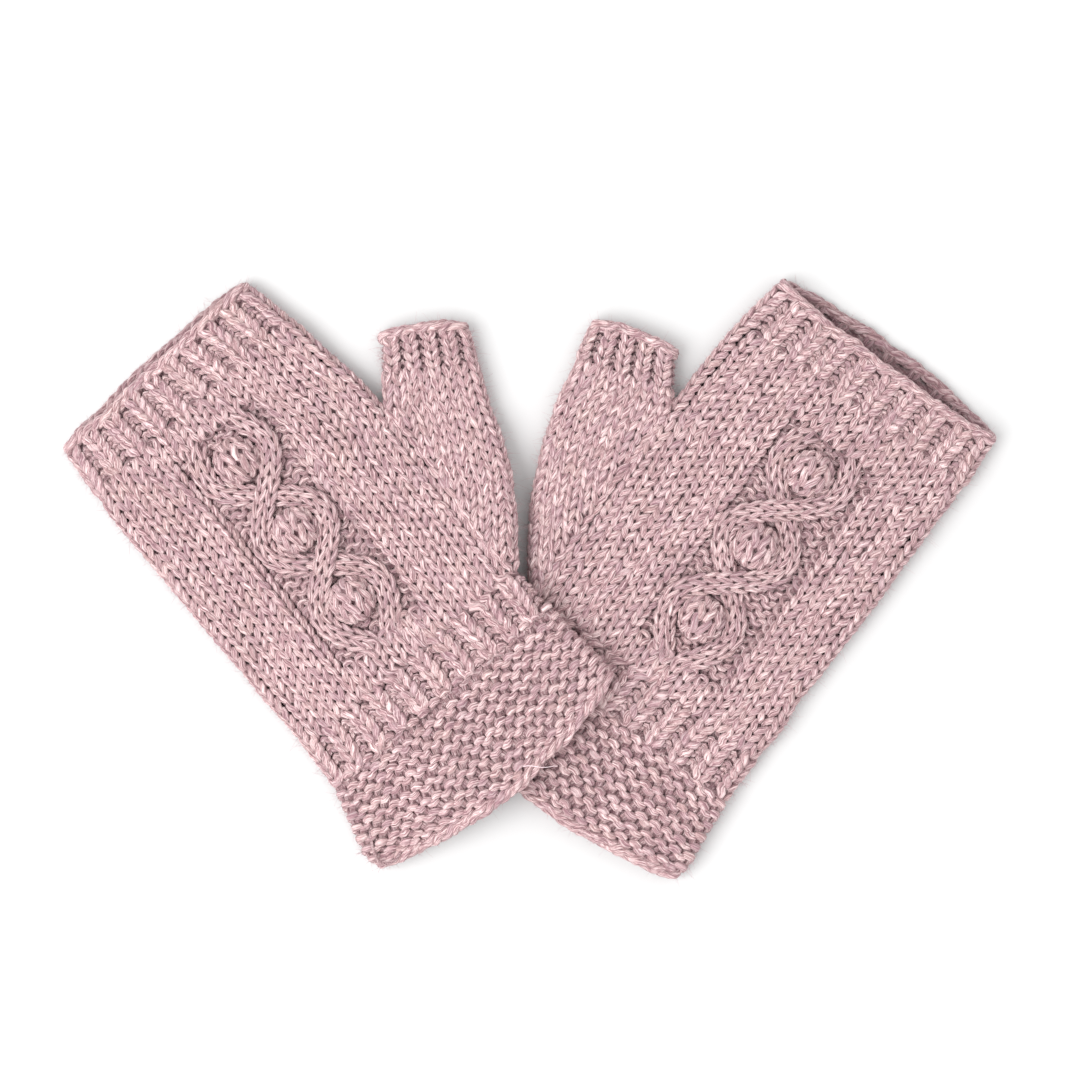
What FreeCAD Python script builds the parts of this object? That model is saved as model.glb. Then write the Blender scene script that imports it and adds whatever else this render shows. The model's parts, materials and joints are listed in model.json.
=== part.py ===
"""A pair of hand-knitted fingerless gloves lying one over the other, in millimetres.

Both gloves lie flat with the backs of the hands up.  The right glove lies on the
surface and the thumb side of the left glove's cuff rests over it.  Each glove is a
flattened tube of two fabric layers joined at side folds, worked in sections from the
cast-on edge up: garter cuff, wrist rib, hand with a cable and three bobbles, top rib
and bind-off, and a thumb gusset that carries a short thumb tube with a rib.

A glove has its own frame: x runs across the hand, y from the cuff to the fingers,
z up from the surface.  Plan sizes are given for a thumb on the +x side, and the right
glove mirrors them.
"""

import FreeCAD, Part
import Sketcher
import math
import os

DRIVING_SIZES = [
    # Fabric
    ("wall", 2.4),              # thickness of one fabric layer
    ("inside", 4.8),            # open height between the layers
    ("fold", 3.0),              # width of a side fold, seen from above
    ("clearance", 0.4),         # gap between pieces that move apart
    # Sections, measured along the hand from the corners of the cast-on edge
    ("cast_on", 4.0),           # depth of the cast-on edge
    ("flare_height", 35.0),     # where the outer side stops flaring
    ("garter_height", 30.0),    # top of the garter cuff
    ("wrist_height", 47.0),     # top of the wrist rib, where the gusset starts
    ("top_rib", 20.0),          # depth of the top rib with its bind-off
    ("bind_off", 3.6),          # depth of a bind-off edge
    ("hand_outer", 45.2),       # centre line to the outer side of the hand
    ("gusset_start", 1.5),      # width of the gusset where it starts
    ("thumb_rib", 14.5),        # depth of the thumb rib with its bind-off
    # Cable panel
    ("bobble_foot", 27.0),      # top of the wrist rib to the lowest bobble
    ("bobble_width", 15.0),
    ("bobble_height", 5.6),
    ("strand_reach", 12.5),     # centre of a strand to the centre line beside a bobble
    ("strand_lead", 7.5),       # the same where the strands start
    ("strand_close", 3.2),      # and where they finish
    ("strand_width", 6.0),
    ("strand_height", 2.6),
    ("strand_start", 13.0),     # the strands start this far above the first bobble
    ("strand_finish", 16.0),    # and finish this far below the last one
    ("panel_half", 18.0),       # half width of the sunk purl ground
    ("panel_margin", 5.0),      # purl ground past the ends of the strands
    ("panel_recess", 0.8),      # how far the purl ground lies below the plain stitches
    # Left glove
    ("left_lean", 40.0),        # hand axis from +Y, in degrees
    ("left_place_x", -11.3),    # middle of the cuff corners
    ("left_place_y", -64.5),
    ("left_cuff_outer", 51.5),
    ("left_cuff_inner", 52.5),
    ("left_edge_bow", 12.5),    # how far the cast-on edge bows past its corners
    ("left_waist", 48.0),
    ("left_crotch_x", 49.0),
    ("left_crotch_y", 116.3),
    ("left_top_outer", 41.4),
    ("left_top_inner", 38.0),
    ("left_outer_length", 176.6),
    ("left_inner_length", 180.7),
    ("left_gusset_bulge", 0.8),
    ("left_panel_offset", 0.0),
    ("left_bobble_drop", 23.85),    # foot of the top rib to the highest bobble
    ("left_splay", 31.0),       # thumb axis from the hand axis, in degrees
    ("left_thumb_base", 33.4),
    ("left_thumb_inset", 2.7),
    ("left_thumb_tip", 29.0),
    ("left_thumb_inner", 26.4),
    ("left_thumb_outer", 25.3),
    # Right glove
    ("right_lean", -37.0),
    ("right_place_x", 11.8),
    ("right_place_y", -72.2),
    ("right_cuff_outer", 46.1),
    ("right_cuff_inner", 57.3),
    ("right_edge_bow", 8.0),
    ("right_waist", 49.0),
    ("right_crotch_x", 48.8),
    ("right_crotch_y", 125.1),
    ("right_top_outer", 44.1),
    ("right_top_inner", 43.4),
    ("right_outer_length", 183.0),
    ("right_inner_length", 182.0),
    ("right_gusset_bulge", 5.0),
    ("right_panel_offset", -2.0),
    ("right_bobble_drop", 27.7),
    ("right_splay", 24.0),
    ("right_thumb_base", 35.4),
    ("right_thumb_inset", 3.2),
    ("right_thumb_tip", 27.9),
    ("right_thumb_inner", 19.6),
    ("right_thumb_outer", 23.5),
    # Rise of the left glove over the right one, in the left glove's frame
    ("rise_start_x", -44.0),    # the fabric starts to rise here
    ("rise_end_x", -8.0),       # and is fully up from here to the thumb side
    ("rise_start_y", 98.0),
    ("rise_end_y", 52.0),
]

SHEET_CELL_SPAN = 6.0           # spacing of the control points of the lifted layers
STACK_MARGIN = 5.0              # how far the plan prisms pass the layers that trim them
FIELD_MARGIN = 12.0             # how far the layers pass the plan of the glove
STRAND_STEPS = 30               # stretches between the points on a strand's edge
MESH_ERROR = 0.01               # of the meshes that the pair's box is measured on
SLOPE_STEP = 0.01               # short step for the slope of a curve

doc = FreeCAD.newDocument("FingerlessGloves")
sheet = doc.addObject("Spreadsheet::Sheet", "Sizes")
for row, (name, value) in enumerate(DRIVING_SIZES, start=1):
    sheet.set(f"A{row}", name)
    sheet.set(f"B{row}", str(value))
    sheet.setAlias(f"B{row}", name)
probe = doc.addObject("Part::Feature", "Probe")    # evaluates expressions of the sheet
doc.recompute()


def size(name):
    """Return the number in the sheet under a name."""
    return float(getattr(sheet, name))


def smooth_step(value):
    """Ease from 0 to 1 as the value goes from 0 to 1."""
    value = min(max(value, 0.0), 1.0)
    return value * value * (3.0 - 2.0 * value)


def stack_height():
    """Return the height of a glove that lies flat: two layers and the space inside."""
    return 2 * size("wall") + size("inside")


def left_rise(across, along):
    """Return how far the left glove is lifted at a point of its own frame."""
    across_span = size("rise_end_x") - size("rise_start_x")
    along_span = size("rise_start_y") - size("rise_end_y")
    part_across = smooth_step((across - size("rise_start_x")) / across_span)
    part_along = smooth_step((size("rise_start_y") - along) / along_span)
    return (stack_height() + size("clearance")) * part_across * part_along


def no_rise(across, along):
    """The right glove lies flat."""
    return 0.0


class Glove:
    """The sizes, frames and fabric layers of one glove."""

    def __init__(self, hand, side, rise):
        self.hand = hand                # "left" or "right", as in the names of its sizes
        self.side = side                # +1 when the thumb is on the +x side, else -1
        self.rise = rise
        self.pieces = []                # (object, its place in the glove)
        self.layers = {}                # lifted solids, none for a flat glove

    def own(self, name):
        """Return one of this glove's own sizes."""
        return size(f"{self.hand}_{name}")

    def named(self, expression):
        """Turn words in an expression into sheet values; own sizes start with '@'."""
        words = expression.replace("@", f"Sizes.{self.hand}_")
        return words.replace("$", "Sizes.")

    def frame(self):
        """Return the glove's frame in the pair."""
        base = FreeCAD.Vector(self.own("place_x"), self.own("place_y"), 0)
        turn = FreeCAD.Rotation(FreeCAD.Vector(0, 0, 1), self.own("lean"))
        return FreeCAD.Placement(base, turn)

    def thumb_frame(self):
        """Return the thumb's frame in the glove: crotch at the origin, y to the tip."""
        crotch = FreeCAD.Vector(self.side * self.own("crotch_x"), self.own("crotch_y"), 0)
        turn = FreeCAD.Rotation(FreeCAD.Vector(0, 0, 1), -self.side * self.own("splay"))
        return FreeCAD.Placement(crotch, turn)


STACK = "(2 * $wall + $inside)"
LEVELS = {                      # bottom and thickness of each layer of a flat glove
    "palm": ("0", "$wall"),
    "back": ("$wall + $inside", "$wall"),
    "full": ("0", STACK),
    "sunk": (f"{STACK} - $panel_recess", f"$panel_recess + {STACK_MARGIN}"),
    "cable": (f"{STACK} - $panel_recess", "$strand_height"),
}


def field_box(glove):
    """Return the plan box that the layers of a glove fill, as x and y limits."""
    reach_out = max(glove.own("cuff_outer"), size("hand_outer")) + FIELD_MARGIN
    reach_in = glove.own("crotch_x") + glove.own("thumb_base") + FIELD_MARGIN
    length = max(glove.own("outer_length"), glove.own("inner_length"))
    across = sorted((-glove.side * reach_out, glove.side * reach_in))
    return across, (-glove.own("edge_bow") - FIELD_MARGIN, length + FIELD_MARGIN)


def lifted_face(glove, bottom):
    """Return a smooth face at a level of the glove that follows its rise."""
    (left, right), (low, high) = field_box(glove)
    columns = math.ceil((right - left) / SHEET_CELL_SPAN)
    rows = math.ceil((high - low) / SHEET_CELL_SPAN)
    knots_across = list(range(columns - 1))
    knots_along = list(range(rows - 1))

    def greville(index, last):
        """Return the place of a control point that keeps the plan grid even."""
        clamped = [min(max(index + shift, 0), last) for shift in (-2, -1, 0)]
        return sum(clamped) / 3.0

    poles = []
    for i in range(columns + 1):
        across = left + (right - left) * greville(i, columns - 2) / (columns - 2)
        line = []
        for j in range(rows + 1):
            along = low + (high - low) * greville(j, rows - 2) / (rows - 2)
            line.append(FreeCAD.Vector(across, along, bottom + glove.rise(across, along)))
        poles.append(line)
    ends_across = [4] + [1] * (len(knots_across) - 2) + [4]
    ends_along = [4] + [1] * (len(knots_along) - 2) + [4]
    surface = Part.BSplineSurface()
    surface.buildFromPolesMultsKnots(
        poles, ends_across, ends_along, knots_across, knots_along, False, False, 3, 3
    )
    return surface.toShape()


def add_lifted_layers(glove):
    """Add the lifted solids that trim a glove's plan prisms to its fabric layers."""
    for name, level in LEVELS.items():
        bottom, thick = (value_of(glove.named(text)) for text in level)
        layer = doc.addObject("Part::Feature", f"{glove.hand}_{name}_layer")
        layer.Shape = lifted_face(glove, bottom).extrude(FreeCAD.Vector(0, 0, thick))
        glove.layers[name] = layer


def edge_order(start, finish):
    """Return a sketch arc's vertex numbers at the start and finish of an edge.

    An arc that bows towards the cuff runs from low x to high x.
    """
    return (1, 2) if start.x < finish.x else (2, 1)


def plan_prism(glove, name, corners, arcs=None, level=None):
    """Pad a plan outline into a prism, in the glove's frame.

    corners: (x, y) expressions with the thumb on +x.  arcs: radius expressions of
    the edges that bow towards the cuff, by edge number.  level: bottom and thickness
    as expressions; without it the prism passes every layer.
    """
    arcs = arcs or {}
    bottom, thick = level or (f"-{STACK_MARGIN}", f"{2 * stack_height() + 3 * STACK_MARGIN}")
    body = doc.addObject("PartDesign::Body", name)
    sketch = body.newObject("Sketcher::SketchObject", f"{name}_outline")
    planes = body.Origin.OriginFeatures
    sketch.AttachmentSupport = [(next(p for p in planes if p.Role == "XY_Plane"), "")]
    sketch.MapMode = "FlatFace"
    sketch.setExpression("AttachmentOffset.Base.z", glove.named(bottom))
    sign = "" if glove.side > 0 else "-"
    places = [(f"{sign}({glove.named(x)})", glove.named(y)) for x, y in corners]
    points = [FreeCAD.Vector(value_of(x), value_of(y), 0) for x, y in places]
    ends = []
    for index, start in enumerate(points):
        finish = points[(index + 1) % len(points)]
        if index not in arcs:
            sketch.addGeometry(Part.LineSegment(start, finish), False)
            ends.append((1, 2))
            continue
        radius_text = glove.named(arcs[index])
        radius = value_of(radius_text)
        half_chord = (finish - start).Length / 2
        bow = radius - math.sqrt(radius**2 - half_chord**2)
        lowest = (start + finish) / 2 - FreeCAD.Vector(0, bow, 0)
        sketch.addGeometry(Part.Arc(start, lowest, finish), False)
        bind(sketch, Sketcher.Constraint("Radius", index, radius), radius_text)
        ends.append(edge_order(start, finish))
    for index, (across, along) in enumerate(places):
        follower = (index + 1) % len(points)
        joint = Sketcher.Constraint("Coincident", index, ends[index][1], follower, ends[follower][0])
        sketch.addConstraint(joint)
        vertex = ends[index][0]
        bind(sketch, Sketcher.Constraint("DistanceX", -1, 1, index, vertex, points[index].x), across)
        bind(sketch, Sketcher.Constraint("DistanceY", -1, 1, index, vertex, points[index].y), along)
    pad = body.newObject("PartDesign::Pad", f"{name}_pad")
    pad.Profile = sketch
    pad.setExpression("Length", glove.named(thick))
    body.Tip = pad
    return body


def value_of(expression):
    """Return the number that an expression of sheet values stands for."""
    value = probe.evalExpression(expression)
    return float(getattr(value, "Value", value))


def bind(sketch, constraint, expression):
    """Add a driving constraint and bind it to the sheet."""
    sketch.addConstraint(constraint)
    sketch.setExpression(f"Constraints[{sketch.ConstraintCount - 1}]", expression)


def keep(glove, name, made, local=None):
    """Take an object as one of the glove's pieces, with its place in the glove."""
    made.Label = f"{glove.hand}_{name}"
    glove.pieces.append((made, local or FreeCAD.Placement()))


def trimmed(glove, name, prism, layer):
    """Trim a plan prism to a lifted fabric layer."""
    trim = doc.addObject("Part::Common", f"{glove.hand}_{name}_trim")
    trim.Base = prism
    trim.Tool = glove.layers[layer]
    return trim


def fabric(glove, name, corners, layer, arcs=None):
    """Make one flat piece of a glove in a fabric layer, lifted where the glove rises."""
    if not glove.layers:
        return plan_prism(glove, f"{glove.hand}_{name}_body", corners, arcs, LEVELS[layer])
    prism = plan_prism(glove, f"{glove.hand}_{name}_prism", corners, arcs)
    return trimmed(glove, name, prism, layer)


def outer_at(height):
    """Distance from the centre line to the outer side in the flared cuff."""
    return f"(@cuff_outer + ($hand_outer - @cuff_outer) * {height} / $flare_height)"


def wrist_at(height):
    """Distance from the centre line to the thumb side below the waist."""
    return f"(@cuff_inner + (@waist - @cuff_inner) * {height} / $wrist_height)"


def hand_at(height):
    """Distance from the centre line to the thumb side of the hand above the crotch."""
    slope = "(@top_inner - @crotch_x) / (@inner_length - @crotch_y)"
    return f"(@crotch_x + {slope} * ({height} - @crotch_y))"


def thumb_inner_at(height):
    """Distance from the thumb's axis line to its inner side, in the thumb's frame."""
    return f"($clearance + (@thumb_inset - $clearance) * {height} / @thumb_inner)"


def thumb_outer_at(height):
    """Distance from the thumb's axis line to its outer side, in the thumb's frame."""
    return f"(@thumb_base - (@thumb_base - @thumb_inset - @thumb_tip) * {height} / @thumb_outer)"


def band(low, high):
    """Return the outline between two cross lines, each given by its two ends."""
    return [low[0], low[1], high[1], high[0]]


def hand_lines():
    """Return the cross lines of a hand between its side folds, cuff to fingers."""
    rib = "$top_rib"
    rib_share = "($hand_outer + (@top_outer - $hand_outer) * ($top_rib - $bind_off) / $top_rib)"
    return {
        "edge": (("-(@cuff_outer - $fold)", "0"), ("@cuff_inner - $fold", "0")),
        "garter": (
            (f"-({outer_at('$cast_on')} - $fold)", "$cast_on"),
            (f"{wrist_at('$cast_on')} - $fold", "$cast_on"),
        ),
        "wrist": (
            (f"-({outer_at('$garter_height')} - $fold)", "$garter_height"),
            (f"{wrist_at('$garter_height')} - $fold", "$garter_height"),
        ),
        "waist": (("-($hand_outer - $fold)", "$wrist_height"), ("@waist - $fold", "$wrist_height")),
        "rib": (
            ("-($hand_outer - $fold)", f"@outer_length - {rib}"),
            (f"{hand_at(f'(@inner_length - {rib})')} - $fold", f"@inner_length - {rib}"),
        ),
        "bind_off": (
            (f"-({rib_share} - $fold)", "@outer_length - $bind_off"),
            (f"{hand_at('(@inner_length - $bind_off)')} - $fold", "@inner_length - $bind_off"),
        ),
        "top": (("-(@top_outer - $fold)", "@outer_length"), ("@top_inner - $fold", "@inner_length")),
    }


CROTCH = ("@crotch_x", "@crotch_y")
CROTCH_FOLD = ("@crotch_x - $fold", "@crotch_y")
GUSSET_FOOT = ("@waist - $fold - $gusset_start", "$wrist_height")
THUMB_FOOT = (
    "@crotch_x + @thumb_base * cos(@splay)",
    "@crotch_y - @thumb_base * sin(@splay)",
)
THUMB_FOOT_FOLD = (
    "@crotch_x + (@thumb_base - $fold) * cos(@splay)",
    "@crotch_y - (@thumb_base - $fold) * sin(@splay)",
)
GUSSET_MIDDLE = (
    f"(@waist + {THUMB_FOOT[0]}) / 2 + @gusset_bulge",
    f"($wrist_height + {THUMB_FOOT[1]}) / 2",
)
GUSSET_MIDDLE_FOLD = (f"{GUSSET_MIDDLE[0]} - $fold", GUSSET_MIDDLE[1])
HALF_EDGE = "((@cuff_outer + @cuff_inner) / 2 - $fold)"
EDGE_RADIUS = f"({HALF_EDGE} ^ 2 + @edge_bow ^ 2) / (2 * @edge_bow)"


def add_hand_layers(glove):
    """Add the back and palm layers of every section from the cuff to the fingers."""
    lines = hand_lines()
    wrist_rib = band(lines["wrist"], lines["waist"])
    wrist_rib.append(("-($hand_outer - $fold)", "$flare_height"))
    hand = [lines["waist"][0], GUSSET_FOOT, CROTCH_FOLD, lines["rib"][1], lines["rib"][0]]
    gusset = [GUSSET_FOOT, lines["waist"][1], GUSSET_MIDDLE_FOLD, THUMB_FOOT_FOLD, CROTCH, CROTCH_FOLD]
    cast_on_arcs = {0: EDGE_RADIUS, 2: EDGE_RADIUS}
    for layer in ("palm", "back"):
        sections = (
            ("cast_on_edge", band(lines["edge"], lines["garter"]), cast_on_arcs),
            ("garter_cuff", band(lines["garter"], lines["wrist"]), {0: EDGE_RADIUS}),
            ("wrist_rib", wrist_rib, None),
            ("thumb_gusset", gusset, None),
            ("top_rib", band(lines["rib"], lines["bind_off"]), None),
            ("bind_off_edge", band(lines["bind_off"], lines["top"]), None),
        )
        for name, corners, arcs in sections:
            keep(glove, f"{name}_{layer}", fabric(glove, f"{name}_{layer}", corners, layer, arcs))
    keep(glove, "hand_palm", fabric(glove, "hand_palm", hand, "palm"))
    keep(glove, "hand_back", sunk_panel(glove, fabric(glove, "hand_back", hand, "back")))


def add_hand_folds(glove):
    """Add the side folds that join the two layers along the hand."""
    outer = [
        ("-@cuff_outer", "0"),
        ("-(@cuff_outer - $fold)", "0"),
        ("-($hand_outer - $fold)", "$flare_height"),
        ("-($hand_outer - $fold)", "@outer_length - $top_rib"),
        ("-(@top_outer - $fold)", "@outer_length"),
        ("-@top_outer", "@outer_length"),
        ("-$hand_outer", "@outer_length - $top_rib"),
        ("-$hand_outer", "$flare_height"),
    ]
    wrist = [
        ("@cuff_inner - $fold", "0"),
        ("@cuff_inner", "0"),
        ("@waist", "$wrist_height"),
        ("@waist - $fold", "$wrist_height"),
    ]
    gusset = [wrist[3], wrist[2], GUSSET_MIDDLE, THUMB_FOOT, THUMB_FOOT_FOLD, GUSSET_MIDDLE_FOLD]
    fingers = [
        CROTCH_FOLD,
        CROTCH,
        ("@top_inner", "@inner_length"),
        ("@top_inner - $fold", "@inner_length"),
    ]
    for name, corners in (
        ("outer_side_fold", outer),
        ("wrist_side_fold", wrist),
        ("gusset_side_fold", gusset),
        ("hand_side_fold", fingers),
    ):
        keep(glove, name, fabric(glove, name, corners, "full"))


FIRST_BOBBLE = "((@outer_length + @inner_length) / 2 - $top_rib - @bobble_drop)"
LAST_BOBBLE = "($wrist_height + $bobble_foot)"


def bobble_heights(glove):
    """Return how high the three bobbles lie along the hand, from the fingers down."""
    first = value_of(glove.named(FIRST_BOBBLE))
    last = value_of(glove.named(LAST_BOBBLE))
    return first, (first + last) / 2, last


def sunk_panel(glove, hand_back):
    """Sink the purl ground of the cable panel into the back of the hand."""
    low = f"{LAST_BOBBLE} - $strand_finish - $panel_margin"
    high = f"{FIRST_BOBBLE} + $strand_start + $panel_margin"
    left = "@panel_offset - $panel_half"
    right = "@panel_offset + $panel_half"
    corners = [(left, low), (right, low), (right, high), (left, high)]
    cut = doc.addObject("Part::Cut", f"{glove.hand}_sunk_back")
    cut.Base = hand_back
    cut.Tool = fabric(glove, "sunk_panel", corners, "sunk")
    return cut


def strand_reach_at(glove, along):
    """Return how far a strand lies from the centre line, signed by its first side."""
    first, _, last = bobble_heights(glove)
    reach = size("strand_reach")
    if along > first:
        lead = size("strand_lead")
        return lead + (reach - lead) * math.cos(math.pi / 2 * (along - first) / size("strand_start"))
    if along < last:
        close = size("strand_close")
        return close + (reach - close) * math.cos(math.pi / 2 * (last - along) / size("strand_finish"))
    return reach * math.cos(2 * math.pi * (along - first) / (first - last))


def strand_edge(glove, start, shift):
    """Return one edge of a strand as a curve in plan.

    start: +1 or -1, the side the strand starts on.  shift: half the strand's width,
    signed, square to its run.
    """
    first, _, last = bobble_heights(glove)
    top = first + size("strand_start")
    bottom = last - size("strand_finish")
    middle = glove.own("panel_offset") * glove.side
    points = []
    for step in range(STRAND_STEPS + 1):
        along = top + (bottom - top) * step / STRAND_STEPS
        across = start * strand_reach_at(glove, along)
        ahead = start * strand_reach_at(glove, along + SLOPE_STEP)
        slope = (ahead - across) / SLOPE_STEP
        length = math.hypot(1.0, slope)
        points.append(
            FreeCAD.Vector(middle + across + shift / length, along - shift * slope / length, 0)
        )
    curve = Part.BSplineCurve()
    curve.interpolate(points)
    return curve.toShape()


def strand_prism(glove, start, bottom, thick):
    """Return one cable strand as a band that weaves past the three bobbles."""
    half = size("strand_width") / 2
    low_edge = strand_edge(glove, start, -half)
    high_edge = strand_edge(glove, start, half)
    ends = [
        Part.makeLine(low_edge.Vertexes[i].Point, high_edge.Vertexes[i].Point) for i in (0, 1)
    ]
    outline = Part.Wire(Part.__sortEdges__([low_edge, ends[1], high_edge, ends[0]]))
    face = Part.Face(outline)
    face.translate(FreeCAD.Vector(0, 0, bottom))
    return face.extrude(FreeCAD.Vector(0, 0, thick))


def add_cable(glove):
    """Add the two crossing strands, knitted into one fabric, as one piece."""
    if glove.layers:
        bottom, thick = -STACK_MARGIN, 2 * stack_height() + 3 * STACK_MARGIN
    else:
        bottom = stack_height() - size("panel_recess")
        thick = size("strand_height")
    strands = [strand_prism(glove, start, bottom, thick) for start in (1, -1)]
    cable = doc.addObject("Part::Feature", f"{glove.hand}_strand_pair")
    cable.Shape = strands[0].fuse(strands[1]).removeSplitter()
    if glove.layers:
        cable = trimmed(glove, "cable_strands", cable, "cable")
    keep(glove, "cable_strands", cable)


def slope_turn(glove, across, along):
    """Return the turn that stands a piece square on the lifted fabric."""
    here = glove.rise(across, along)
    rise_across = (glove.rise(across + SLOPE_STEP, along) - here) / SLOPE_STEP
    rise_along = (glove.rise(across, along + SLOPE_STEP) - here) / SLOPE_STEP
    return FreeCAD.Rotation(FreeCAD.Vector(0, 0, 1), FreeCAD.Vector(-rise_across, -rise_along, 1))


def add_bobbles(glove):
    """Add the three round bobbles that stand on the purl ground."""
    radius = "(($bobble_width ^ 2 / 4 + $bobble_height ^ 2) / (2 * $bobble_height))"
    ground = stack_height() - size("panel_recess")
    across = glove.own("panel_offset") * glove.side
    for index, along in enumerate(bobble_heights(glove)):
        bobble = doc.addObject("Part::Sphere", f"{glove.hand}_bobble_{index + 1}")
        bobble.setExpression("Radius", glove.named(radius))
        bobble.setExpression("Angle1", glove.named(f"asin(1 - $bobble_height / {radius})"))
        rise = glove.rise(across, along)
        seat = size("clearance") / 2 if glove.layers else 0.0
        base = FreeCAD.Vector(across, along, ground + rise + seat)
        standing = FreeCAD.Placement(base, slope_turn(glove, across, along))
        drop = value_of(glove.named(f"{radius} - $bobble_height"))
        standing = standing * FreeCAD.Placement(FreeCAD.Vector(0, 0, -drop), FreeCAD.Rotation())
        keep(glove, f"bobble_{index + 1}", bobble, standing)


def add_thumb(glove):
    """Add the short thumb tube, its rib, its bind-off edge and its side folds."""
    heights = {
        "foot": ("$clearance", "$clearance"),
        "rib": ("(@thumb_inner - $thumb_rib)", "(@thumb_outer - $thumb_rib)"),
        "bind_off": ("(@thumb_inner - $bind_off)", "(@thumb_outer - $bind_off)"),
        "tip": ("@thumb_inner", "@thumb_outer"),
    }
    lines = {}
    for name, (inner, outer) in heights.items():
        lines[name] = (
            (f"{thumb_inner_at(inner)} + $fold", inner),
            (f"{thumb_outer_at(outer)} - $fold", outer),
        )
    foot = "$clearance"
    folds = {
        "thumb_inner_fold": [
            (thumb_inner_at(foot), foot),
            lines["foot"][0],
            lines["tip"][0],
            (thumb_inner_at("@thumb_inner"), "@thumb_inner"),
        ],
        "thumb_outer_fold": [
            lines["foot"][1],
            (thumb_outer_at(foot), foot),
            (thumb_outer_at("@thumb_outer"), "@thumb_outer"),
            lines["tip"][1],
        ],
    }
    local = glove.thumb_frame()
    for layer in ("palm", "back"):
        for name, low, high in (
            ("thumb_tube", "foot", "rib"),
            ("thumb_rib", "rib", "bind_off"),
            ("thumb_bind_off", "bind_off", "tip"),
        ):
            corners = band(lines[low], lines[high])
            body_name = f"{glove.hand}_{name}_{layer}_body"
            body = plan_prism(glove, body_name, corners, level=LEVELS[layer])
            keep(glove, f"{name}_{layer}", body, local)
    for name, corners in folds.items():
        body = plan_prism(glove, f"{glove.hand}_{name}_body", corners, level=LEVELS["full"])
        keep(glove, name, body, local)


def build_glove(glove):
    """Build every piece of one glove in its own frame."""
    if glove.rise is not no_rise:
        add_lifted_layers(glove)
    add_hand_layers(glove)
    add_hand_folds(glove)
    add_cable(glove)
    add_bobbles(glove)
    add_thumb(glove)


def place_pair(gloves, centre):
    """Put every piece in the pair's frame, with the pair's middle at the origin."""
    to_origin = FreeCAD.Placement(FreeCAD.Vector(-centre.x, -centre.y, 0), FreeCAD.Rotation())
    for glove in gloves:
        for made, local in glove.pieces:
            made.Placement = to_origin * glove.frame() * local
    doc.recompute()


def pair_middle(gloves):
    """Return the middle of the box round all the pieces."""
    box = FreeCAD.BoundBox()
    for glove in gloves:
        for made, _ in glove.pieces:
            for corner in made.Shape.tessellate(MESH_ERROR)[0]:
                box.add(corner)
    return box.Center


def check_document(gloves):
    """Stop if any object failed or any piece isn't one valid solid."""
    for item in doc.Objects:
        if {"Invalid", "Error"} & set(item.State):
            raise RuntimeError(f"{item.Label} failed: {item.State}")
    for glove in gloves:
        for made, _ in glove.pieces:
            shape = made.Shape
            if shape.isNull() or not shape.isValid() or len(shape.Solids) != 1:
                raise RuntimeError(f"{made.Label} isn't one valid solid")


def write_parts(gloves):
    """Write each piece to its own STEP file."""
    os.makedirs("parts", exist_ok=True)
    for glove in gloves:
        for made, _ in glove.pieces:
            made.Shape.exportStep(f"parts/{made.Label}.step")


LEFT = Glove("left", 1, left_rise)
RIGHT = Glove("right", -1, no_rise)
PAIR = (LEFT, RIGHT)
for pair_glove in PAIR:
    build_glove(pair_glove)
doc.recompute()
place_pair(PAIR, FreeCAD.Vector())
place_pair(PAIR, pair_middle(PAIR))
check_document(PAIR)
write_parts(PAIR)
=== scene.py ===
"""A pair of hand-knitted fingerless gloves, built stitch by stitch from plied wool yarn.

Each glove has its own plan frame in millimetres: x runs across the hand towards the
thumb, y from the cuff to the fingers, z up from the surface that the pair lies on.
"""
import enum
import json
import logging
import math
from dataclasses import dataclass, field

import bpy
import numpy as np
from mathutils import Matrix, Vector


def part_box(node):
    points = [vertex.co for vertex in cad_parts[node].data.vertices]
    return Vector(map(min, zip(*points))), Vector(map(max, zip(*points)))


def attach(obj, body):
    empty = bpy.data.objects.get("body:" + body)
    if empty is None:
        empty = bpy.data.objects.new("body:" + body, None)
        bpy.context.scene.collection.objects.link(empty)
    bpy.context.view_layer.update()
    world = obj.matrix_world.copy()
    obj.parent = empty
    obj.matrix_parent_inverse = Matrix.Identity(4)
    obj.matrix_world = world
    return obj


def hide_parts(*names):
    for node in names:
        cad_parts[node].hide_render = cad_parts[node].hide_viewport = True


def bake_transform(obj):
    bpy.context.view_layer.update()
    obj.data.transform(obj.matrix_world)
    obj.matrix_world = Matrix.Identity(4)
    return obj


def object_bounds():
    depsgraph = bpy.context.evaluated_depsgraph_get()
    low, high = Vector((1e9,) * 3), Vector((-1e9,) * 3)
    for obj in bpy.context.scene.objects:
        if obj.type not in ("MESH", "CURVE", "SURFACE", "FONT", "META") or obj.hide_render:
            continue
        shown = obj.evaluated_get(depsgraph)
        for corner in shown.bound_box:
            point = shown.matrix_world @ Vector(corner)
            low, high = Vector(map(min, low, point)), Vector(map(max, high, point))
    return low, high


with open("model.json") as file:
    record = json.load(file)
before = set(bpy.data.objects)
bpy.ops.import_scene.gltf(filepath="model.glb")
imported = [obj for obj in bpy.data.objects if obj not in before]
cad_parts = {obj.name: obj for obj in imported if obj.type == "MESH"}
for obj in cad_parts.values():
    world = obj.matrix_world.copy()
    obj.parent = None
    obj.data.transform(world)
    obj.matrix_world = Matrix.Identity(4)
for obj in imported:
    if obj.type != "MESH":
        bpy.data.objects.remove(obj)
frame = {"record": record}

log = logging.getLogger("gloves")
CAD_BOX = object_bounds()
MM = 0.001
RECORD = frame["record"]
SEED = 41
HALF_PLAIN = 3.05                   # from a glove's middle plane to the middle of a plain layer
YARN_HALF = 1.15                    # the yarn's usual half width, in millimetres
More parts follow.
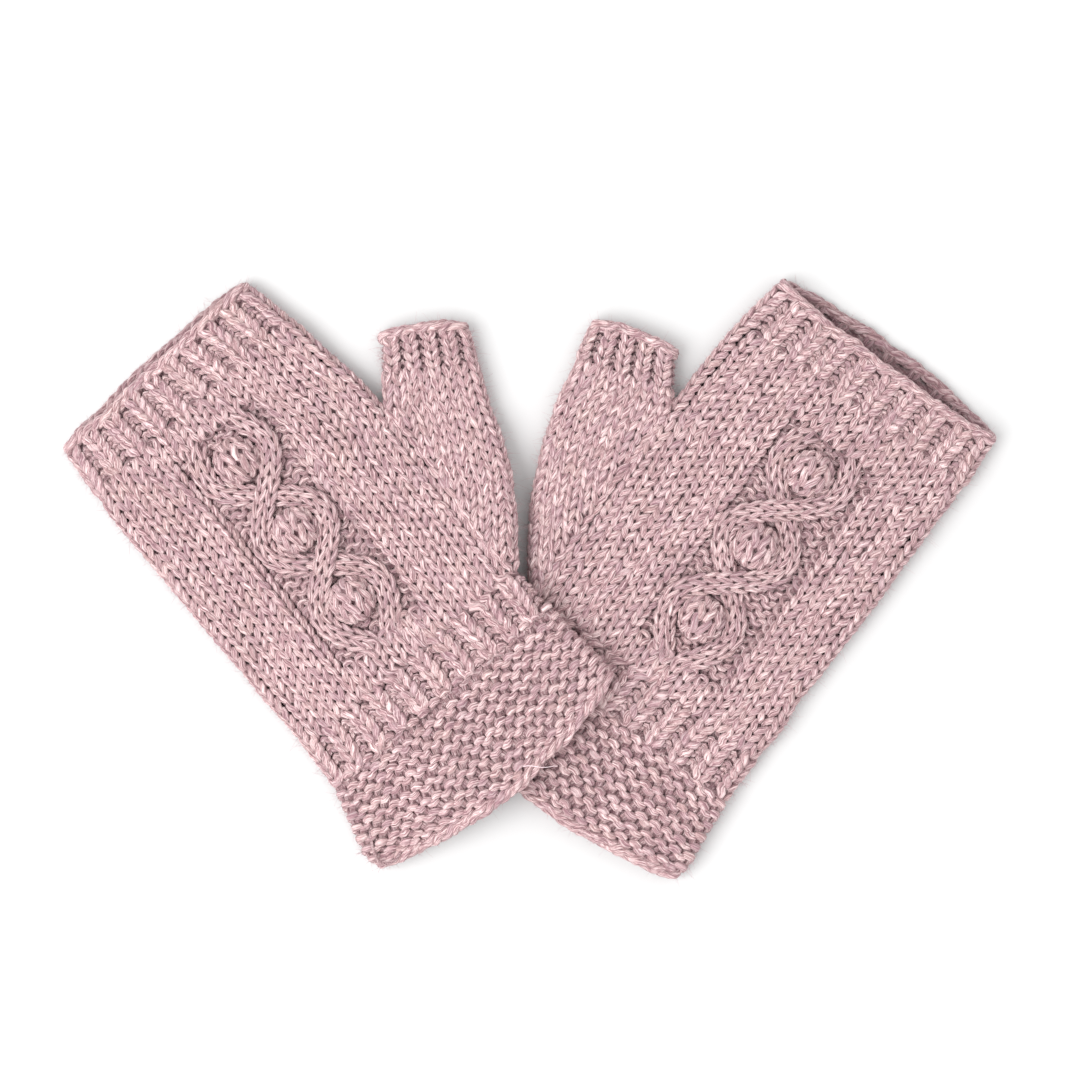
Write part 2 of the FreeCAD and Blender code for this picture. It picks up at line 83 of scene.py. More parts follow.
TABLE = 0.02                        # the lowest that wool lies, in millimetres
FIBRES_IN_PIECE = 6000
FUZZ = (1.9, 0.1)                   # loose fibres on a millimetre of yarn: at edges, elsewhere
LONGEST = (1.6, 6.0)                # the longest of them: beside the thumb, elsewhere


class Stitch(enum.IntEnum):
    """Which face of a stitch shows: its legs, or its head and feet."""

    KNIT = 1
    PURL = -1


class Layer(enum.IntEnum):
    """The two fabric layers of a glove that lies flat."""

    BACK = 1
    PALM = -1


class Pattern(enum.Enum):
    """How a section's knit and purl stitches are set out."""

    PLAIN = "plain"
    RIB = "rib"
    GARTER = "garter"


def ease(value: np.ndarray | float) -> np.ndarray | float:
    """Go smoothly from 0 to 1 as the value does."""
    held = np.clip(value, 0.0, 1.0)
    return held * held * (3.0 - 2.0 * held)


def unit(vectors: np.ndarray) -> np.ndarray:
    """Return vectors of length one."""
    return vectors / np.maximum(np.linalg.norm(vectors, axis=-1, keepdims=True), 1e-9)


# ---------------------------------------------------------------- yarn and its meshes


@dataclass(frozen=True)
class Yarn:
    """A soft plied yarn, pressed a little flat in the fabric."""

    wide: float = 1.34              # half its width in the plane of the fabric
    thick: float = 0.98             # half its width through the fabric
    ply_turn: float = 24.0          # length of yarn in one turn of the plies
    squeeze: float = 0.13           # how much it narrows where loops hold each other
    head: float = 0.25              # how much narrower it is on heads and feet than on legs

    def girth(self, angle: np.ndarray) -> np.ndarray:
        """Return its relative width round a stitch: full on the legs, narrow between."""
        pinched = 1 - self.squeeze + self.squeeze * np.cos(4 * angle)
        return pinched * (1 - self.head * (0.5 + 0.5 * np.cos(2 * angle)))


@dataclass
class Run:
    """One stretch of yarn: its middle line, the fabric's outward side and its size."""

    points: np.ndarray
    outward: np.ndarray
    along: np.ndarray
    wide: np.ndarray
    thick: np.ndarray
    around: int = 8                 # corners of its section
    ahead: np.ndarray | None = None  # its direction, where the ends must match a neighbour's
    painted_shade: np.ndarray | None = None  # painted shade: 0 at the fabric's face, 1 deep behind it


class YarnPiece:
    """A named piece of the glove, made of runs of yarn."""

    def __init__(self, name: str, yarn: Yarn) -> None:
        """Start an empty piece.

        Args:
            name: the piece's name.
            yarn: the yarn that it is made of.
        """
        self.name = name
        self.yarn = yarn
        self.runs: list[Run] = []

    def add(self, run: Run) -> None:
        """Add one run of yarn."""
        self.runs.append(run)

    def rings(self, run: Run) -> tuple[np.ndarray, np.ndarray]:
        """Work out a run's surface points.

        Args:
            run: the run of yarn.

        Returns:
            The corners of its rings, and each corner's place in the twisted yarn, drawn nearer
            to the yarn's middle by painted shade: deep in the fabric and on the yarn's underside.
        """
        count = run.around
        turn = np.arange(count) * (2 * np.pi / count)
        ahead = unit(np.gradient(run.points, axis=0)) if run.ahead is None else run.ahead
        across = unit(np.cross(ahead, run.outward))
        lift = np.cross(across, ahead)
        wide = run.wide[:, None, None] * across[:, None, :] * np.cos(turn)[None, :, None]
        thick = run.thick[:, None, None] * lift[:, None, :] * np.sin(turn)[None, :, None]
        corners = run.points[:, None, :] + wide + thick
        twist = turn[None, :] + run.along[:, None] * (2 * np.pi / self.yarn.ply_turn)
        depth = np.broadcast_to(run.along[:, None], twist.shape)
        painted_shade = np.zeros(len(run.points)) if run.painted_shade is None else run.painted_shade
        # painted shade: darker deep in the fabric and on each yarn's underside, kept as a shorter
        # twist radius
        painted_shade_share = np.clip(painted_shade[:, None] + 0.3 * (1 - np.sin(turn))[None, :], 0, 1)
        unshaded_radius = 1 - 0.4 * painted_shade_share
        places = [unshaded_radius * np.cos(twist), unshaded_radius * np.sin(twist), depth]
        return corners, np.stack(places, axis=-1)

    def build(self, material: bpy.types.Material) -> bpy.types.Object:
        """Make the piece's closed mesh.

        Args:
            material: the piece's finish.

        Returns:
            The new object.
        """
        corners, places, quads, caps, maps, cap_maps = [], [], [], [], [], []
        start = 0
        for number, run in enumerate(self.runs):
            count = run.around
            ring, place = self.rings(run)
            steps = len(ring)
            ends = np.stack([run.points[0], run.points[-1]])
            corners += [ring.reshape(-1, 3), ends]
            end_places = np.array([[0, 0, run.along[0]], [0, 0, run.along[-1]]])
            places += [place.reshape(-1, 3), end_places]
            step, turn = np.meshgrid(np.arange(steps - 1), np.arange(count), indexing="ij")
            follow = (turn + 1) % count
            quad = [step * count + turn, (step + 1) * count + turn]
            quad += [(step + 1) * count + follow, step * count + follow]
            quads.append(start + np.stack(quad, axis=-1).reshape(-1, 4))
            side = [step, step + 1, step + 1, step]
            up = [turn, turn, turn + 1, turn + 1]
            left = np.stack(side, axis=-1).reshape(-1, 4) / (steps - 1)
            rise = np.stack(up, axis=-1).reshape(-1, 4)
            low = (number + 0.1 + 0.8 * rise / count) / len(self.runs)
            maps.append(np.stack([left, low], axis=-1))
            around = np.arange(count)
            follow = (around + 1) % count
            first = start + steps * count
            last_ring = start + (steps - 1) * count
            caps.append(np.stack([np.full(count, first), start + around, start + follow], axis=-1))
            caps.append(
                np.stack(
                    [np.full(count, first + 1), last_ring + follow, last_ring + around], axis=-1
                )
            )
            for edge in (0.0, 1.0):
                spot = np.array([edge, (number + 0.5) / len(self.runs)])
                cap_maps.append(np.broadcast_to(spot, (count, 3, 2)))
            start = first + 2
        corner_array = np.concatenate(corners)
        corner_array[:, 2] = np.maximum(corner_array[:, 2], TABLE)   # pressed flat on the table
        quad_array = np.concatenate(quads)
        cap_array = np.concatenate(caps)
        flat_maps = [part.reshape(-1, 2) for part in maps + cap_maps]
        map_array = np.concatenate(flat_maps)
        return make_mesh(
            self.name, corner_array, quad_array, cap_array, map_array,
            np.concatenate(places), material,
        )


def make_mesh(
    name: str,
    corners: np.ndarray,
    quads: np.ndarray,
    triangles: np.ndarray,
    bake_map: np.ndarray,
    places: np.ndarray,
    material: bpy.types.Material,
) -> bpy.types.Object:
    """Make a smooth object from arrays, with its place in the yarn on each corner.

    Args:
        name: the object's name.
        corners: its points in millimetres.
        quads: its four-sided faces.
        triangles: its three-sided faces.
        bake_map: a flat place for each face corner.
        places: round, round and along the yarn, for each point.
        material: its finish.

    Returns:
        The new object.
    """
    mesh = bpy.data.meshes.new(name)
    loops = np.concatenate([quads.ravel(), triangles.ravel()]).astype(np.int32)
    sizes = np.concatenate([np.full(len(quads), 4), np.full(len(triangles), 3)])
    starts = np.concatenate([[0], np.cumsum(sizes)[:-1]]).astype(np.int32)
    mesh.vertices.add(len(corners))
    mesh.vertices.foreach_set("co", (corners * MM).astype(np.float32).ravel())
    mesh.loops.add(len(loops))
    mesh.loops.foreach_set("vertex_index", loops)
    mesh.polygons.add(len(sizes))
    mesh.polygons.foreach_set("loop_start", starts)
    mesh.update(calc_edges=True)
    mesh.polygons.foreach_set("use_smooth", sizes == 4)
    layer = mesh.uv_layers.new(name="OFBake")
    layer.uv.foreach_set("vector", bake_map.astype(np.float32).ravel())
    attribute = mesh.attributes.new("yarn", "FLOAT_VECTOR", "POINT")
    attribute.data.foreach_set("vector", places.astype(np.float32).ravel())
    mesh.validate()
    mesh.materials.append(material)
    made = bpy.data.objects.new(name, mesh)
    bpy.context.scene.collection.objects.link(made)
    return made


# ---------------------------------------------------------------- shape of one glove


@dataclass
class GlovePlan:
    """The outline and lie of one glove, in its own frame."""

    hand: str
    side: int                       # +1 when the thumb is on the +x side of the pair's frame
    cuff_outer: float
    cuff_inner: float
    edge_bow: float
    waist: float
    top_outer: float
    top_inner: float
    outer_length: float
    inner_length: float
    gusset_bulge: float
    panel_offset: float
    thumb_base: float
    thumb_inset: float
    thumb_tip: float
    thumb_inner: float
    thumb_outer: float
    top_bows: tuple[float, float]   # how the back's and the palm's top edges bow out
    lifted: bool
    side_bow: float                 # how far the hand's thumb side bows out above the crotch
    hand_outer: float = 45.2
    flare_height: float = 35.0
    garter_height: float = 30.0
    wrist_height: float = 47.0
    top_rib: float = 20.0
    middle: float = 4.8             # height of the glove's middle plane
    gusset_start: float = 4.5
    origin: np.ndarray = field(init=False)
    up: np.ndarray = field(init=False)
    crotch: np.ndarray = field(init=False)
    splay: float = field(init=False)

    def __post_init__(self) -> None:
        """Read the glove's frame from the record's mounts and joints."""
        mounts = {mount["name"]: mount for mount in RECORD["mounts"]}
        joints = {joint["name"]: joint for joint in RECORD["behaviour"]["joints"]}
        wrist = mounts[f"{self.hand}_wrist_opening"]
        thumb = mounts[f"{self.hand}_thumb_opening"]
        self.origin = np.array(wrist["pos_m"][:2]) / MM
        self.up = -np.array(wrist["axis"][:2])
        pivot = np.array(joints[f"{self.hand}_thumb_swing"]["pos_m"][:2]) / MM
        self.crotch = self.to_plan(pivot)
        thumb_up = np.array(thumb["axis"][:2])
        across = np.array([self.up[1], -self.up[0]]) * self.side
        self.splay = math.atan2(float(thumb_up @ across), float(thumb_up @ self.up))

    def to_plan(self, spot: np.ndarray) -> np.ndarray:
        """Return a spot of the pair's frame in the glove's plan."""
        across = np.array([self.up[1], -self.up[0]]) * self.side
        away = spot - self.origin
        return np.array([away @ across, away @ self.up])

    def outer(self, height: np.ndarray) -> np.ndarray:
        """Return the distance from the centre line to the outer side."""
        rib = self.outer_length - self.top_rib
        heights = [0.0, 5.0, self.flare_height * 0.55, self.flare_height]
        heights += [rib - 8, rib + 4, self.outer_length]
        flare = self.cuff_outer - self.hand_outer
        reach = [self.cuff_outer - 0.8, self.cuff_outer + 0.8]   # a rounded corner
        reach += [self.hand_outer + flare * 0.5, self.hand_outer - 0.8]
        tuck = self.hand_outer - self.top_outer
        reach += [self.hand_outer, self.hand_outer - tuck * 0.6, self.top_outer]
        return np.interp(height, heights, reach)

    def inner(self, height: np.ndarray) -> np.ndarray:
        """Return the distance to the thumb side, or to the foot line of the gusset."""
        foot = self.waist - self.gusset_start + 1.5
        waist = self.wrist_height
        heights = [0.0, waist, waist + 0.01, self.crotch[1], self.inner_length]
        reach = [self.cuff_inner, self.waist, foot, self.crotch[0], self.top_inner]
        side = np.clip((height - self.crotch[1]) / (self.inner_length - self.crotch[1]), 0, 1)
        return np.interp(height, heights, reach) + self.side_bow * 4 * side * (1 - side)

    def rise(self, across: np.ndarray, along: np.ndarray) -> np.ndarray:
        """Return how far the fabric is lifted where this glove lies over the other."""
        if not self.lifted:
            return np.zeros_like(across)
        return 10.0 * ease((across + 44.0) / 36.0) * ease((98.0 - along) / 46.0)

    def place(self, plan: np.ndarray, outward: np.ndarray) -> tuple[np.ndarray, np.ndarray]:
        """Lay points of the glove's frame in the pair's frame.

        Args:
            plan: points with x towards the thumb, y to the fingers and z up.
            outward: the fabric's outward side at those points.

        Returns:
            The points and their outward sides in the pair's frame.
        """
        across, along, height = plan[..., 0], plan[..., 1], plan[..., 2]
        step = 0.5
        lift = self.rise(across, along)
        slope_x = (self.rise(across + step, along) - self.rise(across - step, along)) / (2 * step)
        slope_y = (self.rise(across, along + step) - self.rise(across, along - step)) / (2 * step)
        tilted = outward.copy()
        tilted[..., 0] -= slope_x * outward[..., 2]
        tilted[..., 1] -= slope_y * outward[..., 2]
        tilted = unit(tilted)
        lifted = np.stack([across, along, height + lift], axis=-1)
        return self.turn(lifted, True), self.turn(tilted, False)

    def turn(self, vectors: np.ndarray, move: bool) -> np.ndarray:
        """Turn vectors from the glove's frame into the pair's, and move them if asked."""
        across = np.array([self.up[1], -self.up[0]]) * self.side
        flat = vectors[..., :1] * across + vectors[..., 1:2] * self.up
        if move:
            flat = flat + self.origin
        return np.concatenate([flat, vectors[..., 2:3]], axis=-1)


class Ripple:
    """A smooth, small unevenness, as in any hand-knitted fabric."""

    def __init__(self, seed: int, longest: float, shortest: float, waves: int = 7) -> None:
        """Draw the waves.

        Args:
            seed: makes the unevenness the same each time.
            longest: length of the longest wave in millimetres.
            shortest: length of the shortest.
            waves: how many are added up.
        """
        draw = np.random.default_rng(seed)
        angle = draw.uniform(0, 2 * np.pi, waves)
        length = draw.uniform(shortest, longest, waves)
        direction = np.stack([np.cos(angle), np.sin(angle)], axis=-1)
        self.waves = direction * (2 * np.pi / length)[:, None]
        self.phase = draw.uniform(0, 2 * np.pi, waves)
        self.share = math.sqrt(2.0 / waves)

    def at(self, across: np.ndarray, along: np.ndarray) -> np.ndarray:
        """Return the unevenness at points of the plan, with a spread of about one."""
        flat = np.stack([across, along], axis=-1) @ self.waves.T
        return self.share * np.sin(flat + self.phase).sum(axis=-1)


# ---------------------------------------------------------------- knitted sections


@dataclass
class Loop:
    """The shape of one stitch."""

    lean: float = 0.235             # how far the legs lean, in stitch widths
    reach: float = 0.78             # half its height, in rows
    depth: float = 0.85             # how far it comes forward and back, in millimetres
    steps: int = 14                 # points in one stitch
    length: float = 15.0            # yarn in one stitch, in millimetres


class Section:
    """A knitted section: courses of stitches laid on a part of the glove."""

    def __init__(
        self, plan: GlovePlan, seed: int, columns: int, rows: int, pattern: Pattern,
        loop: Loop, yarn: Yarn, half: float,
    ) -> None:
        """Set out a section.

        Args:
            plan: the glove that it is part of.
            seed: makes its unevenness the same each time.
            columns: stitches from one side to the other, in one layer.
            rows: its courses.
            pattern: how knit and purl stitches are set out.
            loop: the shape of a stitch.
            yarn: the yarn.
            half: from the glove's middle plane to the middle of a layer.
        """
        self.plan = plan
        self.columns = columns
        self.rows = rows
        self.pattern = pattern
        self.loop = loop
        self.yarn = yarn
        self.half = half
        self.seed = seed
        draw = np.random.default_rng(seed)
        self.jitter = draw.normal(0, 1, (2, rows + 2, columns + 1, 4))
        self.row_start = draw.uniform(0, 900, (2, rows + 2))
        self.shift_x = Ripple(seed + 1, 46, 14)
        self.shift_y = Ripple(seed + 2, 46, 14)
        self.shift_z = Ripple(seed + 3, 60, 22)
        self.matting_depth = 0.45
        self.leg_sink = 0.0             # how far legs lie behind, as in garter stitch
        self.fullness = 1.0             # below 1, heads and feet stay forward for longer
        self.spread = 0.17              # how far a knit rib spreads over the purl ribs beside it

    def kind(self, row: int, columns: np.ndarray, layer: Layer) -> np.ndarray:
        """Return the stitches' kinds in a course: 1 for knit, -1 for purl."""
        if self.pattern is Pattern.PLAIN:
            return np.full(len(columns), float(Stitch.KNIT))
        if self.pattern is Pattern.GARTER:
            return np.full(len(columns), float(Stitch.KNIT if row % 2 == 0 else Stitch.PURL))
        return np.where(columns % 2 == 0, float(Stitch.KNIT), float(Stitch.PURL))

    def swell(self, place: np.ndarray, row: int, layer: Layer) -> np.ndarray:
        """Return how far the fabric stands proud: knit ribs stand out, purl ribs lie back."""
        if self.pattern is Pattern.RIB:
            return 0.75 * np.sin(np.pi * place) - 0.1
        if self.pattern is Pattern.GARTER:
            return np.full_like(place, 0.22 if row % 2 == 0 else -0.12)
        return np.zeros_like(place)

    def stretch(self, stitch: np.ndarray) -> np.ndarray:
        """Return how much wider than the others each stitch's yarn spreads."""
        if self.pattern is Pattern.RIB:
            return np.where(stitch % 2 == 0, 1 + 1.6 * self.spread, 1 - 1.2 * self.spread)
        return np.ones(len(stitch))

    def dip(self, place: np.ndarray, row: int) -> np.ndarray:
        """Return how far a course's open end is drawn in behind its neighbour."""
        return np.zeros_like(place)

    def warp(self, place: np.ndarray) -> np.ndarray:
        """Widen the knit ribs at the cost of the purl ribs."""
        if self.pattern is not Pattern.RIB:
            return place
        low = np.floor(place)
        start = np.where(low % 2 == 0, -self.spread, self.spread)
        return place + start * (1 - 2 * (place - low))

    def surface(
        self, place: np.ndarray, course: np.ndarray, layer: Layer
    ) -> tuple[np.ndarray, np.ndarray]:
        """Return plan points and outward sides; each kind of section has its own."""
        raise NotImplementedError

    def course(self, row: int, first: int, last: int, layer: Layer) -> Run:
        """Lay one course of stitches.

        Args:
            row: the course's number.
            first: the stitch that it starts with.
            last: the stitch that it stops before.
            layer: the fabric layer.

        Returns:
            The run of yarn.
        """
        loop = self.loop
        step = 2 * np.pi / loop.steps
        angle = np.arange(-1, (last - first) * loop.steps + 2) * step
        place = first + angle / (2 * np.pi)
        stitch = np.clip(np.floor(place - 1e-9), first, last - 1).astype(int)
        stitch = np.clip(stitch, 0, self.columns)
        upper = ease((1 - np.cos(angle)) / 2)
        columns = np.arange(-1, self.columns + 2)
        own = self.kind(row, columns, layer)
        after = self.kind(row + 1, columns, layer)
        nearest = np.clip(np.floor(place + 0.5).astype(int), 0, self.columns)
        mix = ease((place - nearest + 0.2) / 0.4)
        lower_kind = own[nearest] * (1 - mix) + own[nearest + 1] * mix
        upper_kind = after[stitch + 1]
        face = lower_kind * (1 - upper) + upper_kind * upper
        bell = np.sin(angle / 2) ** 2
        index = 0 if layer is Layer.BACK else 1
        jitter = self.jitter[index, row + 1, stitch]
        across = self.warp(place + loop.lean * np.sin(2 * angle)) + 0.055 * jitter[:, 0] * bell
        course = row + 0.5 - loop.reach * np.cos(angle) * (1 + 0.05 * jitter[:, 1] * bell)
        course = course + 0.07 * jitter[:, 3] * bell
        points, outward = self.surface(across, course, layer)
        beat = np.cos(2 * angle)
        beat = np.sign(beat) * np.abs(beat) ** self.fullness
        proud = -loop.depth * beat * face * (1 + 0.1 * jitter[:, 2] * bell)
        proud = proud - self.leg_sink * np.sin(angle) ** 2
        proud = proud * (0.55 + 0.45 * np.abs(outward[:, 2]))
        # painted shade: parts of the loop that lie back in the fabric are darkened
        painted_shade = np.clip(0.3 - 0.85 * proud / loop.depth, 0, 1)
        proud = proud + self.swell(place, row, layer) - self.dip(place, row)
        plan_points = points + outward * proud[:, None]
        points, outward = self.plan.place(plan_points, outward)
        along = place * loop.length + self.row_start[index, row + 1]
        size = 1 + 0.07 * np.sin(along * 0.9 + self.row_start[index, row + 1])
        size = size + 0.04 * jitter[:, 2] * bell
        wide = self.yarn.wide * size * self.yarn.girth(angle) * self.stretch(stitch)
        thick = self.yarn.thick * size
        ahead = unit(np.gradient(points, axis=0))
        held = slice(1, -1)
        return Run(
            points[held], outward[held], along[held], wide[held], thick[held], ahead=ahead[held],
            painted_shade=painted_shade[held],
        )

    def matting(self, row: int, first: int, last: int, layer: Layer) -> Run:
        """Lay a sheet of matted fibres behind one course, which closes its gaps and is darkened all
        over with painted shade.

        Args:
            row: the course's number.
            first: the stitch that it starts with.
            last: the stitch that it stops before.
            layer: the fabric layer.

        Returns:
            A flat run just behind the stitches.
        """
        place = np.linspace(first, last, (last - first) * 4 + 1)
        middle = np.full_like(place, row + 0.5)
        points, outward = self.surface(place, middle, layer)
        upper, _ = self.surface(place, middle + 0.5, layer)
        depth = self.matting_depth - self.swell(place, row, layer)
        points, outward = self.plan.place(points - outward * depth[:, None], outward)
        wide = np.linalg.norm(upper - self.surface(place, middle, layer)[0], axis=-1) * 1.06
        along = place * 5.0 + self.row_start[0, row + 1]
        thick = np.full_like(place, 0.22)
        # painted shade: the whole sheet is fully darkened, so gaps between stitches show dark wool
        return Run(points, outward, along, wide, thick, around=4, painted_shade=np.ones_like(place))


class TubeSection(Section):
    """A section of the hand or cuff, which is a tube pressed flat."""

    def __init__(
        self, *common: object, low_outer: float, low_inner: float, high_outer: float,
        high_inner: float, low_bow: float = 0.0, open_side: bool = False,
        high_bows: tuple[float, float] = (0.0, 0.0),
    ) -> None:
        """Set out a tube section.

        Args:
            common: what every section takes.
            low_outer: where its lower edge meets the outer side.
            low_inner: where its lower edge meets the thumb side.
            high_outer: where its upper edge meets the outer side.
            high_inner: where its upper edge meets the thumb side.
            low_bow: how far the lower edge bows towards the cuff.
            open_side: below the crotch the thumb side runs on into the gusset.
            high_bows: how far the back's and the palm's upper edge bow out in the middle.
        """
        super().__init__(*common)
        self.low = (low_outer, low_inner)
        self.high = (high_outer, high_inner)
        self.low_bow = low_bow
        self.open_side = open_side
        self.high_bows = high_bows

    def height(self, share: np.ndarray, course: np.ndarray, layer: Layer) -> np.ndarray:
        """Return how high a course lies at a share of the way across."""
        low = self.low[0] + (self.low[1] - self.low[0]) * share
        low = low - self.low_bow * (1 - (2 * share - 1) ** 2)
        high = self.high[0] + (self.high[1] - self.high[0]) * share
        bow = self.high_bows[1 if layer is Layer.PALM else 0]
        high = high + bow * np.maximum(1 - (2 * share - 1) ** 2, 0) ** 0.75
        return low + (high - low) * course / self.rows

    def surface(
        self, place: np.ndarray, course: np.ndarray, layer: Layer
    ) -> tuple[np.ndarray, np.ndarray]:
        """Lay points of the section round its side folds."""
        plan = self.plan
        half = self.half
        share = place / self.columns
        along = self.height(np.clip(share, 0, 1), course, layer)
        left = -plan.outer(along)
        right = plan.inner(along)
        quarter = np.pi / 2 * half
        closed = np.ones_like(along)
        if self.open_side:
            closed = ease((along - plan.crotch[1] + 7.0) / 7.0)
        folded = right - left - 2 * half + 2 * quarter
        opened = right - left - half + quarter
        width = opened + (folded - opened) * closed
        run = share * width
        turn_left = np.clip(run / half, -0.5, np.pi / 2)
        turn_right = np.clip((width - run) / half, -0.5, np.pi / 2)
        on_left = run < quarter
        left_across = left + half * (1 - np.cos(turn_left))
        across = np.where(on_left, left_across, left + half + run - quarter)
        height = np.where(on_left, half * np.sin(turn_left), half)
        out_x = np.where(on_left, -np.cos(turn_left), 0.0)
        out_z = np.where(on_left, np.sin(turn_left), 1.0)
        on_right = (width - run < quarter) & (closed > 0.02)
        right_across = right - half * (1 - np.cos(turn_right))
        right_height = half * np.sin(turn_right)
        across = np.where(on_right, across + (right_across - across) * closed, across)
        height = np.where(on_right, height + (right_height - height) * closed, height)
        out_x = np.where(on_right, np.cos(turn_right) * closed, out_x)
        out_z = np.where(on_right, out_z + (np.sin(turn_right) - out_z) * closed, out_z)
        return self.finish(across, along, height, out_x, out_z, layer)

    def finish(
        self, across: np.ndarray, along: np.ndarray, height: np.ndarray,
        out_x: np.ndarray, out_z: np.ndarray, layer: Layer,
    ) -> tuple[np.ndarray, np.ndarray]:
        """Add the fabric's unevenness and stand the points on the right layer."""
        flat = np.abs(out_z)
        across_even = across + 0.30 * self.shift_x.at(across, along)
        along_even = along + 0.30 * self.shift_y.at(across, along)
        if layer is Layer.BACK:
            height = height + 0.22 * self.shift_z.at(across, along) * flat
        points = np.stack([across_even, along_even, self.plan.middle + layer * height], axis=-1)
        outward = np.stack([out_x, np.zeros_like(out_x), layer * out_z], axis=-1)
        return points, unit(outward)


class CablePanel:
    """Where the cable and its bobbles lie on the back of a hand."""

    def __init__(self, plan: GlovePlan) -> None:
        """Find the bobbles from the glove's CAD bobble solids.

        Args:
            plan: the glove.
        """
        self.plan = plan
        self.half = 16.6                # half width of the purl ground
        self.reach = 12.0               # a strand beside a bobble, from the centre line
        self.lead = 7.6                 # where the strands start
        self.close = 3.4                # where they finish
        self.above = 13.0
        self.below = 16.0
        low, high = [], []
        for number in range(3):
            corner_low, corner_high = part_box(f"{plan.hand}_bobble_{number + 1}")
            low.append(corner_low)
            high.append(corner_high)
        self.spots = []
        for corner_low, corner_high in zip(low, high):
            middle = (np.array(corner_low[:2]) + np.array(corner_high[:2])) / 2 / MM
            self.spots.append(plan.to_plan(middle))
        self.first = self.spots[0][1]
        self.last = self.spots[2][1]
        self.centre = plan.panel_offset

    def strand(self, along: np.ndarray, start: int) -> np.ndarray:
        """Return a strand's distance from the glove's centre line at heights on the hand."""
        between = self.reach * np.cos(2 * np.pi * (along - self.first) / (self.first - self.last))
        lead = self.lead + (self.reach - self.lead) * np.cos(
            np.pi / 2 * np.clip((along - self.first) / self.above, 0, 1)
        )
        close = self.close + (self.reach - self.close) * np.cos(
            np.pi / 2 * np.clip((self.last - along) / self.below, 0, 1)
        )
        shape = np.where(along > self.first, lead, np.where(along < self.last, close, between))
        return self.centre + start * shape

    def sunk(self, across: np.ndarray, along: np.ndarray) -> np.ndarray:
        """Return 1 on the purl ground and 0 off it, with a soft edge."""
        side = ease((self.half - np.abs(across - self.centre)) / 2.5 + 0.5)
        top = ease((self.first + self.above + 2.0 - along) / 4.0)
        foot = ease((along - self.last + self.below + 1.0) / 4.0)
        return side * top * foot


class HandSection(TubeSection):
    """The plain hand, whose back has the sunk purl ground of the cable panel."""

    def __init__(self, *common: object, panel: CablePanel, **edges: float) -> None:
        """Set out the hand.

        Args:
            common: what every section takes.
            panel: the cable panel.
            edges: what a tube section takes.
        """
        super().__init__(*common, **edges)
        self.panel = panel

    def spot(self, place: np.ndarray, row: int) -> tuple[np.ndarray, np.ndarray]:
        """Return roughly where stitches of the back lie on the plan."""
        share = place / self.columns
        along = self.height(share, np.full_like(share, row + 0.5), Layer.BACK)
        left, right = -self.plan.outer(along), self.plan.inner(along)
        return left + (right - left) * share, along

    def kind(self, row: int, columns: np.ndarray, layer: Layer) -> np.ndarray:
        """Return knit, or purl on the ground of the cable panel."""
        plain = np.full(len(columns), float(Stitch.KNIT))
        if layer is Layer.PALM:
            return plain
        across, along = self.spot(columns + 0.5, row)
        return np.where(self.panel.sunk(across, along) > 0.5, 0.5 * Stitch.PURL, plain)

    def swell(self, place: np.ndarray, row: int, layer: Layer) -> np.ndarray:
        """Sink the purl ground."""
        if layer is Layer.PALM:
            return np.zeros_like(place)
        across, along = self.spot(place, row)
        return -1.5 * self.panel.sunk(across, along)

    def dip(self, place: np.ndarray, row: int) -> np.ndarray:
        """Draw the courses in behind the gusset, below the crotch."""
        level = self.height(np.array(1.0), np.array(row + 0.5), Layer.BACK)
        below = level < self.plan.crotch[1] - 4.0
        return 1.3 * below * ease((place - self.columns + 0.5) / 0.5)


